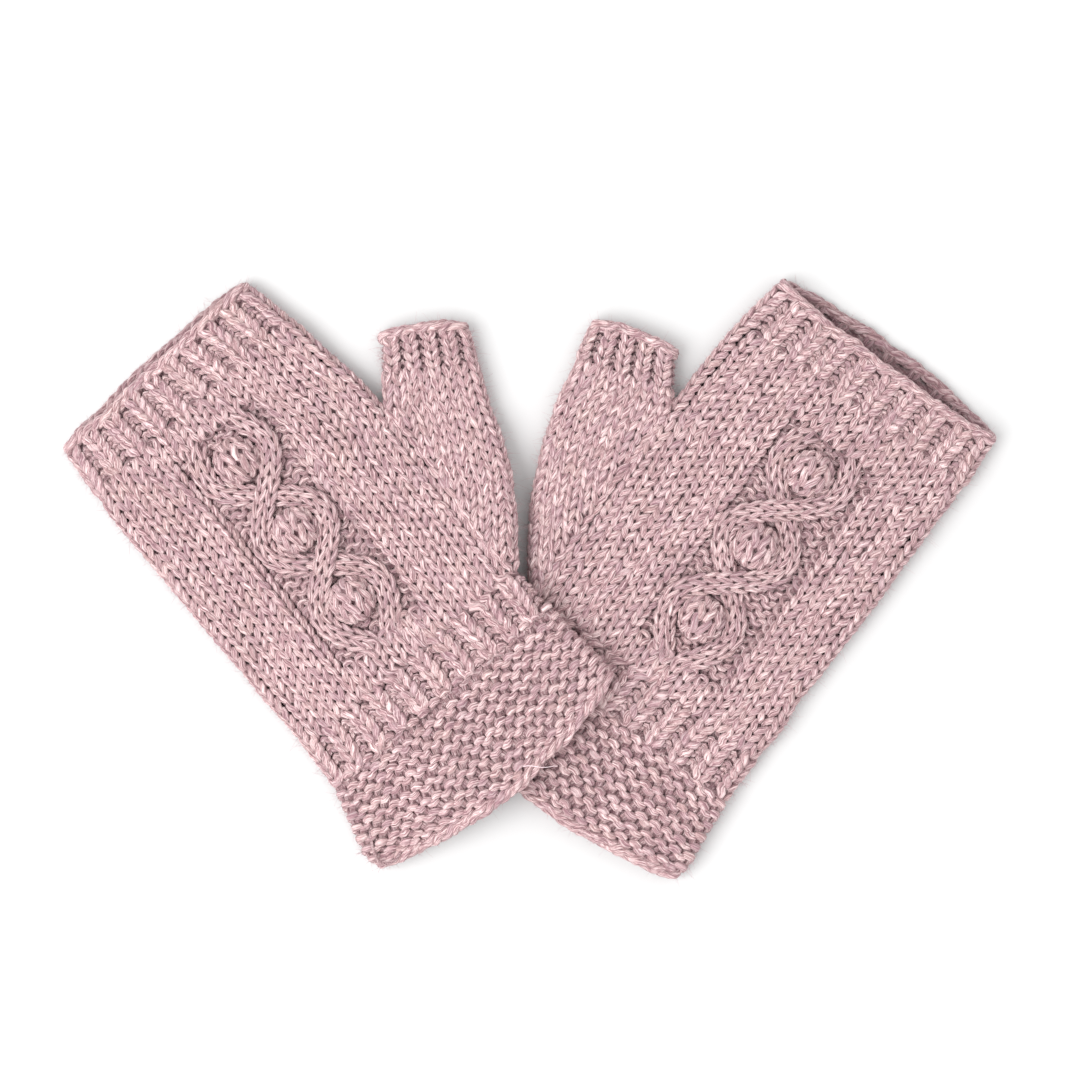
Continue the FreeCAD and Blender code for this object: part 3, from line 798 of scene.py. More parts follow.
class ThumbSection(Section):
    """The thumb gusset and the thumb tube on it, in the thumb's own direction."""

    def __init__(
        self, *common: object, low: float, high_inner: float, high_outer: float, tube: bool,
        high_bow: float = 0.0,
    ) -> None:
        """Set out a section of the thumb.

        Args:
            common: what every section takes.
            low: where it starts along the thumb, from the crotch.
            high_inner: where it ends on the side next to the hand.
            high_outer: where it ends on the outer side.
            tube: whether it has a fold on both sides.
            high_bow: how far its upper edge bows out in the middle.
        """
        super().__init__(*common)
        self.low = low
        self.high = (high_inner, high_outer)
        self.tube = tube
        self.high_bow = high_bow
        plan = self.plan
        self.ahead = np.array([math.sin(plan.splay), math.cos(plan.splay)])
        self.across = np.array([math.cos(plan.splay), -math.sin(plan.splay)])
        waist = np.array([plan.waist, plan.wrist_height]) - plan.crotch
        foot = np.array([plan.waist - plan.gusset_start + 1.5, plan.wrist_height]) - plan.crotch
        self.waist = (waist @ self.across, waist @ self.ahead)
        self.foot = (foot @ self.across, foot @ self.ahead)
        self.pitch = float(self.width(np.array(-0.01))) / self.columns

    def lows(self, share: np.ndarray) -> np.ndarray:
        """Return where the section starts along the thumb, from the outer fold inwards."""
        return np.full_like(share, self.low)

    def outer(self, along: np.ndarray) -> np.ndarray:
        """Return the outer side of the gusset and thumb, from the thumb's axis line."""
        plan = self.plan
        share = np.clip(along / self.waist[1], 0, 1)
        gusset = plan.thumb_base + (self.waist[0] - plan.thumb_base) * share
        gusset = gusset + plan.gusset_bulge * 4 * share * (1 - share) * math.cos(plan.splay)
        tip = plan.thumb_inset + plan.thumb_tip
        tube = plan.thumb_base + (tip - plan.thumb_base) * along / plan.thumb_outer
        return np.where(along < 0, gusset, tube)

    def inner(self, along: np.ndarray) -> np.ndarray:
        """Return the inner side of the thumb, or the line where the gusset leaves the hand."""
        plan = self.plan
        line = self.foot[0] * np.clip(along / self.foot[1], 0, 1.2)
        tube = 0.4 + (plan.thumb_inset - 0.4) * along / plan.thumb_inner
        return np.where(along < 0, line, tube)

    def width(self, along: np.ndarray) -> np.ndarray:
        """Return the way round one layer, from the outer fold to the inner side."""
        quarter = np.pi / 2 * self.half
        flat = self.outer(along) - self.inner(along)
        if self.tube:
            return flat - 2 * self.half + 2 * quarter
        return flat - self.half + quarter

    def count(self, row: int) -> int:
        """Return how many stitches a course has, counted from the outer fold."""
        if self.tube:
            return self.columns
        along = self.low + (self.high[1] - self.low) * (row + 0.5) / self.rows
        share = float(self.width(np.array(along))) / self.pitch
        return int(np.clip(round(share), 1, self.columns))

    def dip(self, place: np.ndarray, row: int) -> np.ndarray:
        """Draw the gusset's courses in where they meet the hand."""
        if self.tube:
            return np.zeros_like(place)
        return 1.0 * ease((place - self.count(row) + 0.4) / 0.4)

    def surface(
        self, place: np.ndarray, course: np.ndarray, layer: Layer
    ) -> tuple[np.ndarray, np.ndarray]:
        """Lay points round the thumb; a stitch's place counts from the outer fold."""
        plan, half = self.plan, self.half
        share = np.clip(place / self.columns, 0, 1)
        high = self.high[1] + (self.high[0] - self.high[1]) * share
        high = high + self.high_bow * (1 - (2 * share - 1) ** 2)
        low = self.lows(share)
        along = low + (high - low) * course / self.rows
        quarter = np.pi / 2 * half
        width = self.width(along)
        if self.tube:
            run = place / self.columns * width
        else:
            last = self.count(int(np.clip(np.median(course), 0, self.rows - 1))) - 1
            rest = width - last * self.pitch
            beyond = last * self.pitch + (place - last) * rest
            run = np.where(place < last, place * self.pitch, beyond)
        outer = self.outer(along)
        turn = np.clip(run / half, -0.5, np.pi / 2)
        fold = run < quarter
        across = np.where(fold, outer - half * (1 - np.cos(turn)), outer - half - (run - quarter))
        height = np.where(fold, half * np.sin(turn), half)
        out_x = np.where(fold, np.cos(turn), 0.0)
        out_z = np.where(fold, np.sin(turn), 1.0)
        if self.tube:
            left = self.width(along) - run
            turn = np.clip(left / half, -0.5, np.pi / 2)
            fold = left < quarter
            across = np.where(fold, self.inner(along) + half * (1 - np.cos(turn)), across)
            height = np.where(fold, half * np.sin(turn), height)
            out_x = np.where(fold, -np.cos(turn), out_x)
            out_z = np.where(fold, np.sin(turn), out_z)
        across = across + 0.25 * self.shift_x.at(across, along)
        along = along + 0.25 * self.shift_y.at(across, along)
        if layer is Layer.BACK:
            height = height + 0.2 * self.shift_z.at(across, along) * out_z
        flat = plan.crotch + across[..., None] * self.across + along[..., None] * self.ahead
        points = np.concatenate([flat, (plan.middle + layer * height)[..., None]], axis=-1)
        side = out_x[..., None] * self.across
        outward = np.concatenate([side, (layer * out_z)[..., None]], axis=-1)
        return points, unit(outward)


@dataclass
class Ribbon:
    """A narrow knitted band of two stitches, which is one strand of the cable."""

    panel: CablePanel
    start: int
    over: int
    yarn: Yarn
    seed: int
    width: float = 7.4
    row: float = 4.5

    @staticmethod
    def along_line(at: np.ndarray, length: np.ndarray, values: np.ndarray) -> np.ndarray:
        """Return two-part values at lengths along the strand."""
        parts = [np.interp(at, length, values[:, axis]) for axis in (0, 1)]
        return np.stack(parts, axis=-1)

    def build(self, piece: YarnPiece) -> None:
        """Lay the strand's courses on the back of the hand.

        Args:
            piece: the piece that takes the runs.
        """
        panel, plan = self.panel, self.panel.plan
        top, bottom = panel.first + panel.above + 1.0, panel.last - panel.below - 1.0
        along = np.linspace(bottom, top, 400)
        across = panel.strand(along, self.start)
        line = np.stack([across, along], axis=-1)
        length = np.concatenate([[0], np.cumsum(np.linalg.norm(np.diff(line, axis=0), axis=1))])
        ahead = unit(np.gradient(line, axis=0))
        rows = int(round(length[-1] / self.row))
        loop = Loop(lean=0.235, reach=0.78, depth=0.62)
        draw = np.random.default_rng(self.seed)
        middle = 2 * np.pi * (along - panel.first) / (panel.first - panel.last)
        crossing = np.abs(np.sin(middle)) ** 2 * (along < panel.first) * (along > panel.last)
        order = np.where(along > (panel.first + panel.last) / 2, 1, -1) * self.over
        lift = 1.85 + 0.85 * crossing * order
        ends = ease((along - bottom) / 6.0) * ease((top - along) / 6.0)
        lift = lift * ends + 0.2 * (1 - ends)
        for row in range(rows):
            turns = np.linspace(0, 4 * np.pi, 2 * loop.steps + 1)
            jitter = draw.normal(0, 1, 3)
            place = turns / (2 * np.pi) + loop.lean * np.sin(2 * turns)
            course = (row + 0.5 - loop.reach * np.cos(turns)) * self.row + 0.2 * jitter[0]
            spot = self.along_line(course, length, line)
            beyond = course - np.clip(course, 0, length[-1])
            facing = unit(self.along_line(course, length, ahead))
            spot = spot + facing * beyond[:, None]
            square = np.stack([facing[:, 1], -facing[:, 0]], axis=-1)
            share = place - 1.0
            width = self.width / 2
            spot = spot + square * (share * width)[:, None]
            height = np.interp(course, length, lift) - 1.3 * share**2
            face = -loop.depth * np.cos(2 * turns)
            level = plan.middle + HALF_PLAIN + height + face
            points = np.concatenate([spot, level[:, None]], axis=-1)
            outward = np.zeros_like(points)
            outward[:, :2] = square * (0.6 * share)[:, None]
            outward[:, 2] = 1.0
            points, outward = plan.place(points, unit(outward))
            run_along = row * 31.0 + turns / (2 * np.pi) * loop.length + draw.uniform(0, 300)
            size = 1 + 0.06 * np.sin(run_along)
            wide = self.yarn.wide * size * self.yarn.girth(turns)
            thick = self.yarn.thick * size
            # painted shade: darker where loops lie back and towards the strand's sides
            painted_shade = np.clip(0.1 - 0.6 * face / loop.depth + 0.35 * share**2, 0, 1)
            piece.add(Run(points, outward, run_along, wide, thick, painted_shade=painted_shade))
        at = np.linspace(0, length[-1], 60)
        spot = self.along_line(at, length, line)
        level = plan.middle + HALF_PLAIN + np.interp(at, length, lift) - 1.45
        points = np.concatenate([spot, level[:, None]], axis=-1)
        up = np.zeros_like(points)
        up[:, 2] = 1.0
        points, up = plan.place(points, up)
        # painted shade: the strand's core under the stitches is mostly darkened
        full = np.full(len(at), 1.0)
        piece.add(Run(points, up, at, self.width * 0.46 * full, 0.9 * full, painted_shade=0.8 * full))


@dataclass
class Bobble:
    """A round bobble: a few stitches worked to and fro into a ball."""

    plan: GlovePlan
    spot: np.ndarray
    yarn: Yarn
    seed: int
    radius: float = 6.8
    height: float = 5.6
    columns: int = 3
    rows: int = 4

    def build(self, piece: YarnPiece) -> None:
        """Lay the bobble's courses over a dome.

        Args:
            piece: the piece that takes the runs.
        """
        loop = Loop(lean=0.235, reach=0.78, depth=0.6)
        draw = np.random.default_rng(self.seed)
        lean = draw.normal(0, 0.12)
        for row in range(-1, self.rows + 1):
            turns = np.linspace(0, self.columns * 2 * np.pi, self.columns * loop.steps + 1)
            place = turns / (2 * np.pi) + loop.lean * np.sin(2 * turns)
            course = row + 0.5 - loop.reach * np.cos(turns) + 0.06 * draw.normal()
            across = np.clip(2 * place / self.columns - 1, -1.25, 1.25)
            along = np.clip(2 * course / self.rows - 1, -1.3, 1.3)
            angle = np.hypot(across, along)
            bend = np.maximum(np.abs(across), np.abs(along)) / np.maximum(angle, 1e-6)
            tilt = angle * (0.45 + 0.55 * bend) * (np.pi / 2) * 0.98
            heading = np.arctan2(along, across) + lean
            flat = np.sin(np.clip(tilt, 0, np.pi * 0.62))
            up = np.cos(np.clip(tilt, 0, np.pi * 0.62))
            direction = np.stack([np.cos(heading), np.sin(heading)], axis=-1)
            outward = np.concatenate([direction * flat[:, None], up[:, None]], axis=-1)
            face = -loop.depth * np.cos(2 * turns)
            spot = self.spot + direction * ((self.radius + face) * flat)[:, None]
            level = self.plan.middle + HALF_PLAIN + 0.4 + (self.height + face) * up
            points = np.concatenate([spot, level[:, None]], axis=-1)
            points, outward = self.plan.place(points, unit(outward))
            along_yarn = row * 53.0 + turns / (2 * np.pi) * loop.length + draw.uniform(0, 300)
            wide = self.yarn.wide * self.yarn.girth(turns)
            thick = np.full(len(turns), self.yarn.thick)
            # painted shade: darker where loops lie back and round the bobble's steep sides
            painted_shade = np.clip(0.1 - 0.6 * face / loop.depth + 0.5 * flat**4, 0, 1)
            piece.add(Run(points, outward, along_yarn, wide, thick, painted_shade=painted_shade))
        self.core(piece)

    def core(self, piece: YarnPiece) -> None:
        """Fill the bobble with the wool gathered inside it."""
        at = np.linspace(-1, 1, 13)
        line = np.zeros((13, 3))
        line[:, :2] = self.spot
        line[:, 0] += at * self.radius * 0.9
        line[:, 2] = self.plan.middle + HALF_PLAIN + 0.2
        up = np.zeros_like(line)
        up[:, 2] = 1.0
        points, up = self.plan.place(line, up)
        round_off = np.sqrt(np.maximum(1 - at**2, 0.003))
        # painted shade: the bobble's core is fully darkened
        piece.add(
            Run(
                points, up, at * 7, self.radius * 0.92 * round_off, self.height * 0.9 * round_off,
                around=20, painted_shade=np.ones_like(at),
            )
        )


class EdgeChain:
    """A bound-off or cast-on edge: a thick slanting chain of two yarns."""

    def __init__(self, yarn: Yarn, pitch: float, round_by: float, seed: int) -> None:
        """Set out a chain.

        Args:
            yarn: the yarn.
            pitch: the length of one stitch along the edge.
            round_by: how far each yarn lies from the chain's middle.
            seed: makes its unevenness the same each time.
        """
        self.yarn = yarn
        self.pitch = pitch
        self.round_by = round_by
        self.seed = seed

    def build(self, piece: YarnPiece, line: np.ndarray, outward: np.ndarray) -> None:
        """Lay the chain along a line.

        Args:
            piece: the piece that takes the runs.
            line: the line's points in the pair's frame, closely spaced.
            outward: the outward side of the fabric along it.
        """
        draw = np.random.default_rng(self.seed)
        gaps = np.linalg.norm(np.diff(line, axis=0), axis=1)
        length = np.concatenate([[0], np.cumsum(gaps)])
        count = max(2, int(round(length[-1] / self.pitch)))
        steps = count * 10 + 1
        at = np.linspace(0, length[-1], steps)
        middle = np.stack([np.interp(at, length, line[:, axis]) for axis in range(3)], axis=-1)
        faces = [np.interp(at, length, outward[:, axis]) for axis in range(3)]
        face = unit(np.stack(faces, axis=-1))
        ahead = unit(np.gradient(middle, axis=0))
        side = unit(np.cross(ahead, face))
        wobble = 0.14 * np.sin(at * 0.37 + draw.uniform(0, 6)) + 0.12 * np.sin(at * 0.9)
        uneven = 0.5 * np.sin(at * 0.31 + draw.uniform(0, 6)) + 0.35 * np.sin(at * 0.83)
        for start in (0.0, 2 * np.pi / 3, 4 * np.pi / 3):
            turn = at / length[-1] * count * np.pi + start + uneven
            reach = self.round_by * (1 + wobble)
            offset = side * (reach * np.cos(turn))[:, None]
            offset = offset + face * (0.8 * reach * np.sin(turn))[:, None]
            drift = 0.05 * draw.normal(size=steps).cumsum() / steps**0.5
            swell = 1 + 0.16 * np.sin(turn) ** 2 + drift
            along = at * 1.15 + draw.uniform(0, 300)
            piece.add(
                Run(middle + offset, face, along, self.yarn.wide * swell, self.yarn.thick * swell)
            )


# ---------------------------------------------------------------- the glove put together


@dataclass(frozen=True)
class Joined:
    """Where fabric crosses the thumb's joint, along the thumb from the crotch."""

    before: float = -16.0
    after: float = 6.0


@dataclass
class KnittedGlove:
    """One glove: its sections, edges, cable and thumb, each piece on its body except those that
    cross the thumb's joint.
    """

    plan: GlovePlan
    seed: int
    garter_rows: int
    hand_rows: int
    thumb_columns: int
    thumb_rows: int
    wool: bpy.types.Material
    loose: bpy.types.Material
    stray: bpy.types.Material
    wrist_columns: int = 20
    hand_columns: int = 19
    rib_rows: int = 5
    yarn: Yarn = Yarn()
    joined: Joined = Joined()
    pieces: list[bpy.types.Object] = field(default_factory=list)
    hand_halo: YarnPiece = field(init=False)
    thumb_halo: YarnPiece = field(init=False)

    @property
    def body(self) -> str:
        """Return the name of the hand's body."""
        return f"{self.plan.hand}_glove"

    @property
    def thumb(self) -> str:
        """Return the name of the thumb's body."""
        return f"{self.plan.hand}_thumb"

    def start_piece(self, name: str) -> YarnPiece:
        """Start a piece with the glove's own prefix."""
        return YarnPiece(f"{self.plan.hand}_{name}_wool", self.yarn)

    def keep(
        self, piece: YarnPiece, nodes: list[str], crosses: bool = False, thumb: bool = False
    ) -> None:
        """Build a piece, put it on its body unless it crosses the thumb's joint, and let it stand
        for its CAD solids.

        Args:
            piece: the piece with its runs.
            nodes: the CAD solids, without the glove's prefix.
            crosses: whether it crosses the thumb's joint.
            thumb: whether it is the thumb's.
        """
        at_edge = any(word in piece.name for word in ("fold", "edge", "bind_off", "cast_on"))
        share = FUZZ[0] if at_edge else FUZZ[1]
        longest = LONGEST[0] if "hand_side_fold" in piece.name else LONGEST[1]
        halo = Halo(self.seed + len(self.pieces) * 17, share, longest)
        halo.grow(piece, self.thumb_halo if crosses or thumb else self.hand_halo)
        made = piece.build(self.wool)
        if nodes:
            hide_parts(*[f"{self.plan.hand}_{node}" for node in nodes])
        if crosses:
            self.join(made)
        else:
            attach(made, self.thumb if thumb else self.body)
        self.pieces.append(made)
        faces = len(made.data.polygons)
        log.info("%s: %d runs of yarn, %d faces", piece.name, len(piece.runs), faces)

    def on_thumb(self, along: float) -> tuple[float, float, float]:
        """Return a point on the thumb's line from the crotch, in metres."""
        plan = self.plan
        spot = plan.crotch + along * np.array([math.sin(plan.splay), math.cos(plan.splay)])
        flat = plan.turn(np.array([spot[0], spot[1], plan.middle]), True)
        return tuple(float(value) * MM for value in flat)

    def layers(self, section: Section, back: YarnPiece, palm: YarnPiece, outer: YarnPiece,
               inner: YarnPiece | None) -> None:
        """Lay a tube section's courses, with the fold stitches as pieces of their own.

        Args:
            section: the section.
            back: the piece for its back layer.
            palm: the piece for its palm layer.
            outer: the piece for its first column, at the outer fold.
            inner: the piece for its last column, where that is a fold.
        """
        for row in range(section.rows):
            for layer, piece in ((Layer.BACK, back), (Layer.PALM, palm)):
                last = section.columns - (1 if inner is not None else 0)
                outer.add(section.course(row, 0, 1, layer))
                outer.add(section.matting(row, 0, 1, layer))
                piece.add(section.course(row, 1, last, layer))
                piece.add(section.matting(row, 1, last, layer))
                if inner is not None:
                    inner.add(section.course(row, last, section.columns, layer))
                    inner.add(section.matting(row, last, section.columns, layer))

    def build(self) -> None:
        """Build every piece of the glove."""
        self.hand_halo = self.start_piece("hand_halo")
        self.thumb_halo = self.start_piece("thumb_halo")
        outer_fold = self.start_piece("outer_side_fold")
        wrist_fold = self.start_piece("wrist_side_fold")
        hand_fold = self.start_piece("hand_side_fold")
        cuff = self.cuff(outer_fold, wrist_fold)
        hand = self.hand(outer_fold, hand_fold)
        self.edge("cast_on_edge", cuff, low=True)
        self.edge("bind_off_edge", hand, low=False)
        self.keep(outer_fold, ["outer_side_fold"])
        self.keep(wrist_fold, ["wrist_side_fold"])
        self.keep(hand_fold, ["hand_side_fold"])
        self.cable()
        self.thumb_part()
        if self.plan.lifted:
            self.loose_end()
            self.stray_fibre()
        self.halos()

    def loose_end(self) -> None:
        """Lay the end of the cast-on yarn, which shows as a small loop at the cuff's corner."""
        piece = YarnPiece(f"{self.plan.hand}_loose_end_wool", Yarn(0.5, 0.46, ply_turn=7.0))
        share = np.linspace(0, 1, 33)
        turn = np.pi * share
        across = 5.4 * np.cos(turn) + 0.5 * np.sin(3 * turn)
        along = 9.5 - 11.0 * np.sin(turn) ** 0.8
        heading = math.radians(-40)
        place = np.zeros((len(share), 3))
        place[:, 0] = -47.6 + across * math.cos(heading) - along * math.sin(heading)
        place[:, 1] = 0.3 + across * math.sin(heading) + along * math.cos(heading)
        place[:, 2] = self.plan.middle + 6.2 - 2.4 * ease(2.2 * np.abs(share - 0.5) - 0.1)
        up = np.zeros_like(place)
        up[:, 2] = 1.0
        points, up = self.plan.place(place, up)
        full = np.full(len(share), 0.5)
        piece.add(Run(points, up, share * 30.0, full, full * 0.92))
        self.keep(piece, [])

    def stray_fibre(self) -> None:
        """Lay the one long pale fibre that lies across the upper cuff."""
        share = np.linspace(0, 1, 17)
        place = np.zeros((len(share), 3))
        place[:, 0] = 8.3 + 8.9 * share
        place[:, 1] = -4.7 - 7.6 * share + 0.3 * np.sin(2.6 * np.pi * share)
        place[:, 2] = self.plan.middle + 6.1 + 0.7 * np.sin(np.pi * share)
        up = np.zeros_like(place)
        up[:, 2] = 1.0
        points, up = self.plan.place(place, up)
        size = 0.15 * (1 - 0.6 * share)
        fibre = self.start_piece("stray_fibre")
        fibre.add(Run(points, up, share, size, size, around=6))
        made = fibre.build(self.stray)
        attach(made, self.body)
        self.pieces.append(made)

    def halos(self) -> None:
        """Build the loose fibres of the hand and of the thumb."""
        for halo in (self.hand_halo, self.thumb_halo):
            for number, first in enumerate(range(0, len(halo.runs), FIBRES_IN_PIECE)):
                part = YarnPiece(halo.name.replace("halo", f"halo_{number + 1}"), halo.yarn)
                part.runs = halo.runs[first:first + FIBRES_IN_PIECE]
                made = part.build(self.loose)
                if halo is self.hand_halo:
                    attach(made, self.body)
                else:
                    self.join(made)
                self.pieces.append(made)
                log.info("%s: %d fibres", part.name, len(part.runs))

    def join(self, made: bpy.types.Object) -> None:
        """Bake a piece that crosses the thumb's joint into place, leaving it on no body."""
        start, end = self.on_thumb(self.joined.before), self.on_thumb(self.joined.after)
        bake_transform(made)

    def cuff(self, outer_fold: YarnPiece, wrist_fold: YarnPiece) -> TubeSection:
        """Knit the garter cuff and the wrist rib."""
        plan = self.plan
        garter = TubeSection(
            plan, self.seed, self.wrist_columns, self.garter_rows, Pattern.GARTER,
            Loop(lean=0.2, reach=0.87, depth=1.25), Yarn(1.08, 1.12, squeeze=0.04, head=-0.3), 2.75,
            low_outer=1.5, low_inner=1.5, high_outer=plan.garter_height,
            high_inner=plan.garter_height, low_bow=plan.edge_bow,
        )
        garter.leg_sink = 0.85
        garter.fullness = 0.6
        back, palm = self.start_piece("garter_cuff_back"), self.start_piece("garter_cuff_palm")
        self.layers(garter, back, palm, outer_fold, wrist_fold)
        self.keep(back, ["garter_cuff_back"])
        self.keep(palm, ["garter_cuff_palm"])
        rib = TubeSection(
            plan, self.seed + 11, self.wrist_columns, self.rib_rows, Pattern.RIB,
            Loop(lean=0.23, reach=0.79, depth=0.8), Yarn(1.3, 1.02, squeeze=0.07, head=0.14), 2.7,
            low_outer=plan.garter_height, low_inner=plan.garter_height,
            high_outer=plan.wrist_height, high_inner=plan.wrist_height,
        )
        back, palm = self.start_piece("wrist_rib_back"), self.start_piece("wrist_rib_palm")
        self.layers(rib, back, palm, outer_fold, wrist_fold)
        self.keep(back, ["wrist_rib_back"])
        self.keep(palm, ["wrist_rib_palm"])
        return garter

    def hand(self, outer_fold: YarnPiece, hand_fold: YarnPiece) -> TubeSection:
        """Knit the hand with its sunk panel, and the rib at the fingers."""
        plan = self.plan
        panel = CablePanel(plan)
        section = HandSection(
            plan, self.seed + 23, self.hand_columns, self.hand_rows, Pattern.PLAIN,
            Loop(), self.yarn, HALF_PLAIN, panel=panel,
            low_outer=plan.wrist_height, low_inner=plan.wrist_height,
            high_outer=plan.outer_length - plan.top_rib,
            high_inner=plan.inner_length - plan.top_rib, open_side=True,
        )
        back, palm = self.start_piece("hand_back"), self.start_piece("hand_palm")
        for row in range(section.rows):
            level = section.height(np.array(1.0), np.array(row + 0.5), Layer.BACK)
            for layer, piece in ((Layer.BACK, back), (Layer.PALM, palm)):
                outer_fold.add(section.course(row, 0, 1, layer))
                if level > plan.crotch[1]:
                    piece.add(section.course(row, 1, section.columns - 1, layer))
                    piece.add(section.matting(row, 1, section.columns - 1, layer))
                    hand_fold.add(section.course(row, section.columns - 1, section.columns, layer))
                else:
                    piece.add(section.course(row, 1, section.columns, layer))
                    piece.add(section.matting(row, 1, section.columns, layer))
        self.keep(back, ["hand_back"])
        self.keep(palm, ["hand_palm"])
        edge = 3.6
        rib = TubeSection(
            plan, self.seed + 37, self.hand_columns, self.rib_rows, Pattern.RIB,
            Loop(lean=0.23, reach=0.79, depth=0.8), Yarn(1.3, 1.02, squeeze=0.07, head=0.14), 2.8,
            low_outer=plan.outer_length - plan.top_rib, low_inner=plan.inner_length - plan.top_rib,
            high_outer=plan.outer_length - edge, high_inner=plan.inner_length - edge,
            high_bows=plan.top_bows,
        )
        back, palm = self.start_piece("top_rib_back"), self.start_piece("top_rib_palm")
        self.layers(rib, back, palm, outer_fold, hand_fold)
        self.keep(back, ["top_rib_back"])
        self.keep(palm, ["top_rib_palm"])
        return rib

    def edge(self, name: str, section: Section, low: bool, thumb: bool = False) -> None:
        """Finish an opening with a chain round both layers.

        Args:
            name: the edge's name, as in the CAD.
            section: the section that it finishes.
            low: whether it lies along the section's lower edge.
            thumb: whether it is the thumb's.
        """
        chain = EdgeChain(Yarn(1.12, 0.95), 6.2, 1.15, self.seed + 5)
        place = np.linspace(0, section.columns, section.columns * 8 + 1)
        course = np.full_like(place, -0.45 if low else section.rows + 0.42)
        for layer, side in ((Layer.BACK, "back"), (Layer.PALM, "palm")):
            piece = self.start_piece(f"{name}_{side}")
            points, outward = section.surface(place, course, layer)
            points, outward = self.plan.place(points, outward)
            chain.build(piece, points, outward)
            self.keep(piece, [f"{name}_{side}"], thumb=thumb)

    def cable(self) -> None:
        """Work the two crossing strands and the bobbles between them."""
        panel = CablePanel(self.plan)
        over = 1 if self.plan.side > 0 else -1
        piece = self.start_piece("cable_strands")
        for start in (1, -1):
            Ribbon(panel, start, over * start, Yarn(1.0, 0.86), self.seed + 71 + start).build(piece)
        self.keep(piece, ["cable_strands"])
        for number, spot in enumerate(panel.spots):
            piece = self.start_piece(f"bobble_{number + 1}")
            yarn = Yarn(1.42, 1.1, squeeze=0.08, head=0.1)
            Bobble(self.plan, spot, yarn, self.seed + 80 + number).build(piece)
            self.keep(piece, [f"bobble_{number + 1}"])

    def thumb_part(self) -> None:
        """Knit the gusset, the thumb's tube, its rib and its edge."""
        plan = self.plan
        gusset_fold = self.start_piece("gusset_side_fold")
        back, palm = self.start_piece("thumb_gusset_back"), self.start_piece("thumb_gusset_palm")
        probe = ThumbSection(
            plan, self.seed, self.thumb_columns, 16, Pattern.PLAIN, Loop(), self.yarn,
            HALF_PLAIN, low=-60.0, high_inner=0.0, high_outer=0.0, tube=False,
        )
        low = probe.waist[1]
        rows = int(round(-low / 3.7))
        gusset = ThumbSection(
            plan, self.seed + 43, self.thumb_columns, rows, Pattern.PLAIN, Loop(), self.yarn,
            HALF_PLAIN, low=low, high_inner=0.0, high_outer=0.0, tube=False,
        )
        for row in range(rows):
            for layer, piece in ((Layer.BACK, back), (Layer.PALM, palm)):
                gusset_fold.add(gusset.course(row, 0, 1, layer))
                if gusset.count(row) > 1:
                    piece.add(gusset.course(row, 1, gusset.count(row), layer))
                    piece.add(gusset.matting(row, 1, gusset.count(row), layer))
        self.keep(gusset_fold, ["gusset_side_fold"], crosses=True)
        self.keep(back, ["thumb_gusset_back"], crosses=True)
        self.keep(palm, ["thumb_gusset_palm"], crosses=True)
        rib_start = 14.5
        tube = ThumbSection(
            plan, self.seed + 47, self.thumb_columns, self.thumb_rows, Pattern.PLAIN, Loop(),
            self.yarn, HALF_PLAIN, low=0.0, high_inner=plan.thumb_inner - rib_start,
            high_outer=plan.thumb_outer - rib_start, tube=True,
        )
        outer, inner = self.start_piece("thumb_outer_fold"), self.start_piece("thumb_inner_fold")
        back, palm = self.start_piece("thumb_tube_back"), self.start_piece("thumb_tube_palm")
        self.layers(tube, back, palm, outer, inner)
        self.keep(back, ["thumb_tube_back"], crosses=True)
        self.keep(palm, ["thumb_tube_palm"], crosses=True)
        rib = ThumbRib(
            plan, self.seed + 53, 10, 4, Pattern.RIB, Loop(lean=0.24, reach=0.74, depth=0.7),
            Yarn(0.92, 0.95, squeeze=0.1), 2.8, low=0.0, high_inner=plan.thumb_inner - 3.6,
            high_outer=plan.thumb_outer - 3.6, tube=True, high_bow=1.3,
        )
        rib.spread = 0.28
        rib.below = (plan.thumb_inner - rib_start, plan.thumb_outer - rib_start)
        back, palm = self.start_piece("thumb_rib_back"), self.start_piece("thumb_rib_palm")
        self.layers(rib, back, palm, outer, inner)
        self.keep(back, ["thumb_rib_back"], thumb=True)
        self.keep(palm, ["thumb_rib_palm"], thumb=True)
        self.keep(outer, ["thumb_outer_fold"], crosses=True)
        self.keep(inner, ["thumb_inner_fold"], crosses=True)
        self.edge("thumb_bind_off", rib, low=False, thumb=True)


class ThumbRib(ThumbSection):
    """The rib at the thumb's opening, which starts on the tube's slanting top."""

    below: tuple[float, float] = (0.0, 0.0)

    def lows(self, share: np.ndarray) -> np.ndarray:
        """Return where the rib starts along the thumb, from the outer fold inwards."""
        return self.below[1] + (self.below[0] - self.below[1]) * share


